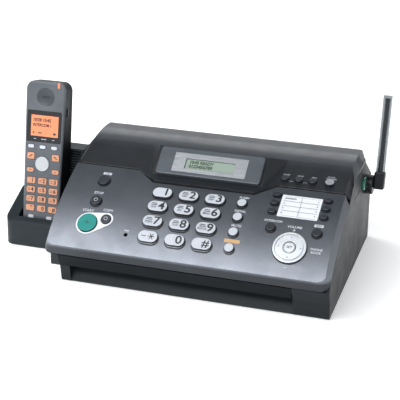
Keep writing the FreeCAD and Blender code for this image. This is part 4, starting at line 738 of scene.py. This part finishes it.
def loose_parts(data):
    """The vertices of each separate solid of a mesh, as lists of positions."""
    first = {}
    owner = [first.setdefault(tuple(round(c / WELD) for c in v.co), v.index)
             for v in data.vertices]

    def root(index):
        """The vertex that stands for the whole solid."""
        while owner[index] != index:
            owner[index] = owner[owner[index]]
            index = owner[index]
        return index

    for edge in data.edges:
        a, b = root(edge.vertices[0]), root(edge.vertices[1])
        owner[a] = b
    groups = {}
    for vertex in data.vertices:
        groups.setdefault(root(vertex.index), []).append(vertex.co.copy())
    return list(groups.values())


def card_prints():
    """Ruled lines and short entries on the directory card."""
    made = Print("card_lines", "panel", "print_grey", "card_white")
    lift = -0.1              # the card lies a little below the panel's skin
    middle, half = 101.0, 18.0
    bottom, top = 66.2, 91.4
    rows = 4
    line = 0.28
    for row in range(rows + 1):
        s = bottom + (top - bottom) * row / rows
        made.bar(2 * half, line, panel_frame(middle, s, lift), 0.08)
    made.bar(line, top - bottom, panel_frame(middle, (top + bottom) / 2, lift), 0.14)
    made.bar(11.0, 1.5, panel_frame(middle - 11.0, top - 2.6, lift), 0.1)
    for side in (-1, 1):
        for row in range(rows):
            s = bottom + (top - bottom) * (row + 0.5) / rows
            made.bar(1.0, 1.3, panel_frame(middle + side * (half - 1.5), s, lift), 0.1)
    made.done()


# ---------------------------------------------------------------- on the top cover
def answering_prints():
    """The legends over and between the answering keys."""
    made = Print("band_legends", "lid", "print_light", "cover_grey")
    for x, y, words, size in ((76.8, 93.9, "ERASE", 1.7), (91.0, 93.9, "STOP", 1.7),
                              (105.1, 93.9, "PLAY", 1.7), (121.6, 97.6, "AUTO", 1.9),
                              (122.0, 94.9, "ANSWER", 1.9)):
        made.text(words, size, band_frame(x, y), shear=0.2)
    for x in (84.0, 98.0):
        made.bar(4.0, 0.3, band_frame(x, 84.6))
    made.done()


def answering_cap():
    """The silver top of the fourth answering key, the one furthest to the right."""
    made = Print("answering_cap", "answering_keys_body", "silver_cap", "key_light")
    place = band_frame(122.0, 88.0)
    third_key_ends = spot(115.0, 0, 0).x
    points = [v.co for v in NODES["answering_keys"].data.vertices if v.co.x > third_key_ends]
    middle = sum(points, Vector()) / len(points) - place.translation
    along = middle.dot(place.col[1].to_3d())
    rise = max((co - place.translation).dot(place.col[2].to_3d()) for co in points)
    made.ring(POINT, 4.4, place @ Matrix.Translation((middle.x, along, rise)), 0.10)
    made.done()


def seam_shadow_strip():
    """A black strip of painted shadow along the top cover's front edge, round its tongue."""
    # a black sheet of painted shadow in the seam to the panel, hiding its lit wall
    made = Print("seam_shadow_strip", "lid", "black", "black_plastic")
    root, front = BAND_FRONT[0] + 2.6, 61.8
    path = [(-138.5, root), (-74.2, root), (-72.0, root - 2.0), (-52.0, front),
            (52.0, front), (72.0, root - 2.0), (74.2, root), (138.5, root)]
    for ends in zip(path, path[1:]):
        corners = []
        for x, y in ends:
            top = band_height(y) - 0.15
            near, far, bottom = y - 1.3, y - 0.02, top - 4.0
            corners.append([spot(x, near, top), spot(x, far, top),
                            spot(x, far, bottom), spot(x, near, bottom)])
        a, b = [[made.mesh.verts.new(c) for c in end] for end in corners]
        made.mesh.faces.new(a)
        made.mesh.faces.new(list(reversed(b)))
        for k in range(4):
            made.mesh.faces.new((a[k], b[k], b[(k + 1) % 4], a[(k + 1) % 4]))
    made.done()


DISPLAY_FILM, DISPLAY_PLATE = 1.34, 2.2     # how far these stand off the pod's face


def display_prints():
    """Generic characters in the main display, and the film's edge round it."""
    made = Print("display_characters", "lid", "lcd_print", "display_glass")
    made.text("10:45 READY", 3.6, display_frame(-9.4, 19.4, DISPLAY_FILM), bold=0.22, wide=0.9)
    made.text("0123456789", 3.6, display_frame(-9.4, 14.6, DISPLAY_FILM), bold=0.22)
    for y, tall in ((23.0, 0.5), (11.0, 0.3)):
        made.bar(51.6, tall, display_frame(0.0, y, DISPLAY_FILM))
    made.bar(0.6, 12.4, display_frame(-25.6, 17.0, DISPLAY_FILM))
    made.done()
    mark = Print("display_plate_marks", "lid", "print_grey", "plate_silver")
    mark.bar(10.0, 0.5, display_frame(13.0, 8.4, DISPLAY_PLATE))
    mark.done()


def bezel_shadow_line():
    """A dark line of painted shadow where the bezel stands on the lid."""
    made = Print("bezel_shadow_line", "lid", "black", "black_plastic")
    made.slab(rounded(111.6, 33.8, 4.0), display_frame(0.0, 18.5), 0.4)
    made.done()


# ---------------------------------------------------------------- on the handset
EARPIECE_X, EARPIECE_Y = 0.3, 131.3         # middle of the dish, across and up the handset
DISH_RADIUS, DISH_EDGE = 27.0, 24.8         # of its ball, and from the ball's middle to the face
SCREEN = -0.02                              # depth of the lit display, just over the window
LETTERS, BARS = -0.16, -0.12                # depths of the marks on the lit display
KEY_TOP = -0.8                              # depth of the tops of the handset's keys
COLUMNS = (-12.0, 1.0, 13.9)                # x of the handset's columns of keys
TOP_ROW, ROW_PITCH = 41.4, 9.95             # the 1 2 3 row up the handset, and row to row


def side_key():
    """The small dark key on the handset's right side."""
    made = Print("handset_side_key", "handset", "black", "handset_dark")
    low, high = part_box("handset_front")
    half = (high.x - low.x) * 500
    made.bar(2.6, 9.0, handset_frame(half, 116.0, 9.0) @ turned(90.0, "Y"), 0.5)
    made.done()


def dish_depth(radius):
    """Depth of the handset's earpiece dish, a part of a ball, at a radius from its middle."""
    return math.sqrt(DISH_RADIUS ** 2 - radius ** 2) - DISH_EDGE


def earpiece():
    """A darker skin of painted shade that follows the handset's earpiece dish, and its three sound
    holes.
    """
    made = Print("earpiece_painted_shade", "handset", "dish", "handset_grey")
    rings, sides = 12, 48
    loops = []
    for ring in range(1, rings + 1):
        radius = 10.1 * ring / rings
        depth = dish_depth(radius) - 0.06
        loops.append([made.mesh.verts.new(handset_frame(x, y, depth).translation)
                      for x, y in circle(EARPIECE_X, EARPIECE_Y, radius, sides)])
    made.mesh.faces.new(loops[0])
    for inner, outer in zip(loops, loops[1:]):
        for k in range(sides):
            after = (k + 1) % sides
            made.mesh.faces.new((inner[k], outer[k], outer[after], inner[after]))
    made.done(smooth=True)
    holes = Print("earpiece_holes", "handset", "print_dark", "handset_grey")
    for x in (-2.8, EARPIECE_X, 3.4):
        depth = dish_depth(abs(x - EARPIECE_X)) - 0.08
        holes.ring(POINT, 1.0, handset_frame(x, EARPIECE_Y, depth), 0.10, steps=16)
    holes.done()


def handset_prints():
    """The lit display with its characters, and the legends of the handset's keys."""
    screen = Print("handset_screen", "handset", "orange_lcd", "window_black")
    screen.bar(31.4, 22.4, handset_frame(0.6, 100.6, SCREEN), 0.10)
    screen.done()
    dark = Print("handset_screen_text", "handset", "print_dark", "window_black")
    dark.text("10/28 10:45", 3.5, handset_frame(-2.6, 106.6, LETTERS), bold=0.14, wide=0.9)
    dark.text("INTERCOM 1", 3.1, handset_frame(-2.2, 101.2, LETTERS), bold=0.12, wide=0.85)
    dark.bar(1.8, 1.6, handset_frame(-12.0, 93.0, BARS))
    dark.bar(4.2, 1.1, handset_frame(-4.6, 93.0, BARS))
    dark.bar(3.0, 2.0, handset_frame(12.2, 93.0, BARS))
    dark.done()
    light = Print("handset_window_marks", "handset", "print_light", "window_black")
    for x, wide in ((-10.0, 2.6), (0.3, 6.0), (11.2, 2.4)):
        light.bar(wide, 0.8, handset_frame(x, 86.4, SCREEN))
    light.done()
    earpiece()
    lamp = Print("handset_lamp", "handset", "orange_lcd", "handset_key_orange")
    lamp.bar(2.4, 5.6, handset_frame(15.0, 144.6, 0.05), 0.55)
    lamp.done()
    handset_legends()


def handset_legends():
    """The marks on the handset's keys, with bars for their finest letters."""
    legend = Print("handset_key_legends", "handset_pad", "print_dark", "handset_key_orange")
    for index, label in enumerate("123456789*0#"):
        x = COLUMNS[index % 3]
        along = TOP_ROW - ROW_PITCH * (index // 3)
        legend.text(label, 4.2, handset_frame(x + 1.6, along, KEY_TOP), bold=0.16)
        if label not in "1*0#":
            for row in (-0.9, 0.9):
                legend.bar(2.6, 0.5, handset_frame(x - 2.2, along + row, KEY_TOP))
    for x, angle in ((-13.6, 40.0), (15.0, -40.0)):
        legend.bar(4.4, 0.9, handset_frame(x, 67.8, KEY_TOP) @ turned(angle))
    for x in (-13.6, 15.4):
        legend.bar(2.4, 0.5, handset_frame(x, 52.6, KEY_TOP))
    legend.done()


def handset_white_keys():
    """White tops over the three soft keys and the two lowest keys."""
    made = Print("handset_white_caps", "handset_pad", "white_cap", "handset_key_orange")
    for columns, along, wide in (((-13.7, -0.4, 12.9), 78.1, 6.6), ((-10.6, 10.5), 2.0, 6.4)):
        outline = rounded(wide, 3.6, 1.5, steps=4)
        for x in columns:
            made.slab(outline, handset_frame(x, along, KEY_TOP), 0.12, -0.75)
    made.done()


# ---------------------------------------------------------------- on the cabinet
def grille_rib_highlights():
    """Painted highlights on the upper faces of the ribs between the slots behind the handset."""
    made = Print("grille_rib_highlights", "cabinet", "rib", "cradle_grey")
    foot_y, foot_z = 114.0, 68.5            # the foot of the grille's steep face
    run, rise, slope = 10.0, 24.5, 67.8     # and how far and how steeply it climbs
    ribs = 10
    for index in range(ribs):
        share = (index + 0.2) / (ribs - 0.2)
        made.bar(57.6, 0.9, tilted(spot(-179.0, foot_y + run * share, foot_z + rise * share),
                                   slope))
    made.done()


def socket_pins():
    """Spring contacts in the line sockets and blades in the power inlet."""
    made = Print("socket_contacts", "cabinet", "contact", "contact_metal")
    pins, pitch = 6, 1.02
    for x in (-96.0, -74.0):
        for pin in range(pins):
            here = Matrix.Translation(spot(x - 2.55 + pin * pitch, 193.5, 23.0))
            made.bar(0.4, 9.0, here, 0.3)
    made.done()
    blades = Print("inlet_blades", "cabinet", "steel", "steel")
    for x in (92.0, 100.0):
        blades.bar(1.6, 8.0, Matrix.Translation(spot(x, 191.5, 20.0)), 0.8, -0.8)
    blades.done()


dial_prints()
panel_prints()
start_surround()
key_icons()
painted_key_shadows()
card_prints()
answering_prints()
answering_cap()
seam_shadow_strip()
side_key()
display_prints()
bezel_shadow_line()
grille_rib_highlights()
handset_prints()
handset_white_keys()
socket_pins()


# ---------------------------------------------------------------- studio
FLOOR_SIZE, FLOOR_Z, FLOOR_LIGHT = 14.0, -0.0002, 0.30


def floor():
    """A wide pale floor just under the feet, with a little light of its own."""
    work = bmesh.new()
    bmesh.ops.create_grid(work, x_segments=8, y_segments=8, size=FLOOR_SIZE)
    data = bpy.data.meshes.new("floor")
    work.to_mesh(data)
    work.free()
    made, tree, shader = shade_nodes("floor_pale")
    tone = drifting(tree, noise(tree, 3.0, 2.0), (0.90, 0.90, 0.905), (0.93, 0.93, 0.93))
    tree.links.new(tone, shader.inputs["Base Color"])
    shader.inputs["Roughness"].default_value = 0.9
    shader.inputs["Emission Color"].default_value = (1.0, 1.0, 1.0, 1.0)
    shader.inputs["Emission Strength"].default_value = FLOOR_LIGHT
    data.materials.append(made)
    piece = bpy.data.objects.new("floor", data)
    piece.location.z = FLOOR_Z
    bpy.context.scene.collection.objects.link(piece)


def softbox(name, place, target, wide, tall, power, mirrored=True):
    """A rectangular lamp in watts and metres, aimed at a target and hidden from the camera."""
    lamp = bpy.data.lights.new(name, "AREA")
    lamp.shape = "RECTANGLE"
    lamp.size, lamp.size_y, lamp.energy = wide, tall, power
    holder = bpy.data.objects.new(name, lamp)
    holder.location = place
    holder.rotation_euler = (Vector(target) - Vector(place)).to_track_quat("-Z", "Y").to_euler()
    holder.visible_camera = False
    holder.visible_glossy = mirrored
    bpy.context.scene.collection.objects.link(holder)


def studio_world():
    """Even grey overhead that brightens towards a pale horizon."""
    world = bpy.data.worlds.new("studio")
    world.use_nodes = True
    tree = world.node_tree
    coord = tree.nodes.new("ShaderNodeTexCoord")
    split = tree.nodes.new("ShaderNodeSeparateXYZ")
    tree.links.new(coord.outputs["Generated"], split.inputs["Vector"])
    tone = ramp(tree, split.outputs["Z"], [(0.0, (0.92, 0.93, 0.95)), (0.30, (0.80, 0.82, 0.85)),
                                          (0.60, (0.28, 0.29, 0.31)), (1.0, (0.22, 0.23, 0.25))])
    back = tree.nodes["Background"]
    tree.links.new(tone, back.inputs["Color"])
    back.inputs["Strength"].default_value = 0.75
    bpy.context.scene.world = world


CAMERA_PLACE = (326.2, -962.5, 542.3)       # as spot() takes it
CAMERA_DROP, CAMERA_HEADING = 23.27, 17.86  # degrees below level, and left of straight ahead
LENS, SENSOR = 105.03, 36.0


def camera():
    """The photograph's viewpoint."""
    data = bpy.data.cameras.new("photo_camera")
    data.lens, data.sensor_width = LENS, SENSOR
    data.clip_start, data.clip_end = 0.05, 60.0
    holder = bpy.data.objects.new("photo_camera", data)
    holder.location = spot(*CAMERA_PLACE)
    holder.rotation_euler = (math.radians(90 - CAMERA_DROP), 0.0, math.radians(CAMERA_HEADING))
    bpy.context.scene.collection.objects.link(holder)
    bpy.context.scene.camera = holder


floor()
softbox("key_box", (-0.9, 0.35, 1.5), (0.0, 0.0, 0.05), 0.9, 0.9, 16.0, mirrored=False)
softbox("front_box", (-0.35, -1.0, 1.45), (0.0, 0.0, 0.05), 1.6, 0.7, 27.0)
softbox("rear_box", (0.1, 1.7, 1.15), (0.0, 0.0, 0.1), 2.8, 0.5, 9.5)
studio_world()
camera()
bpy.context.scene.view_settings.view_transform = "Standard"
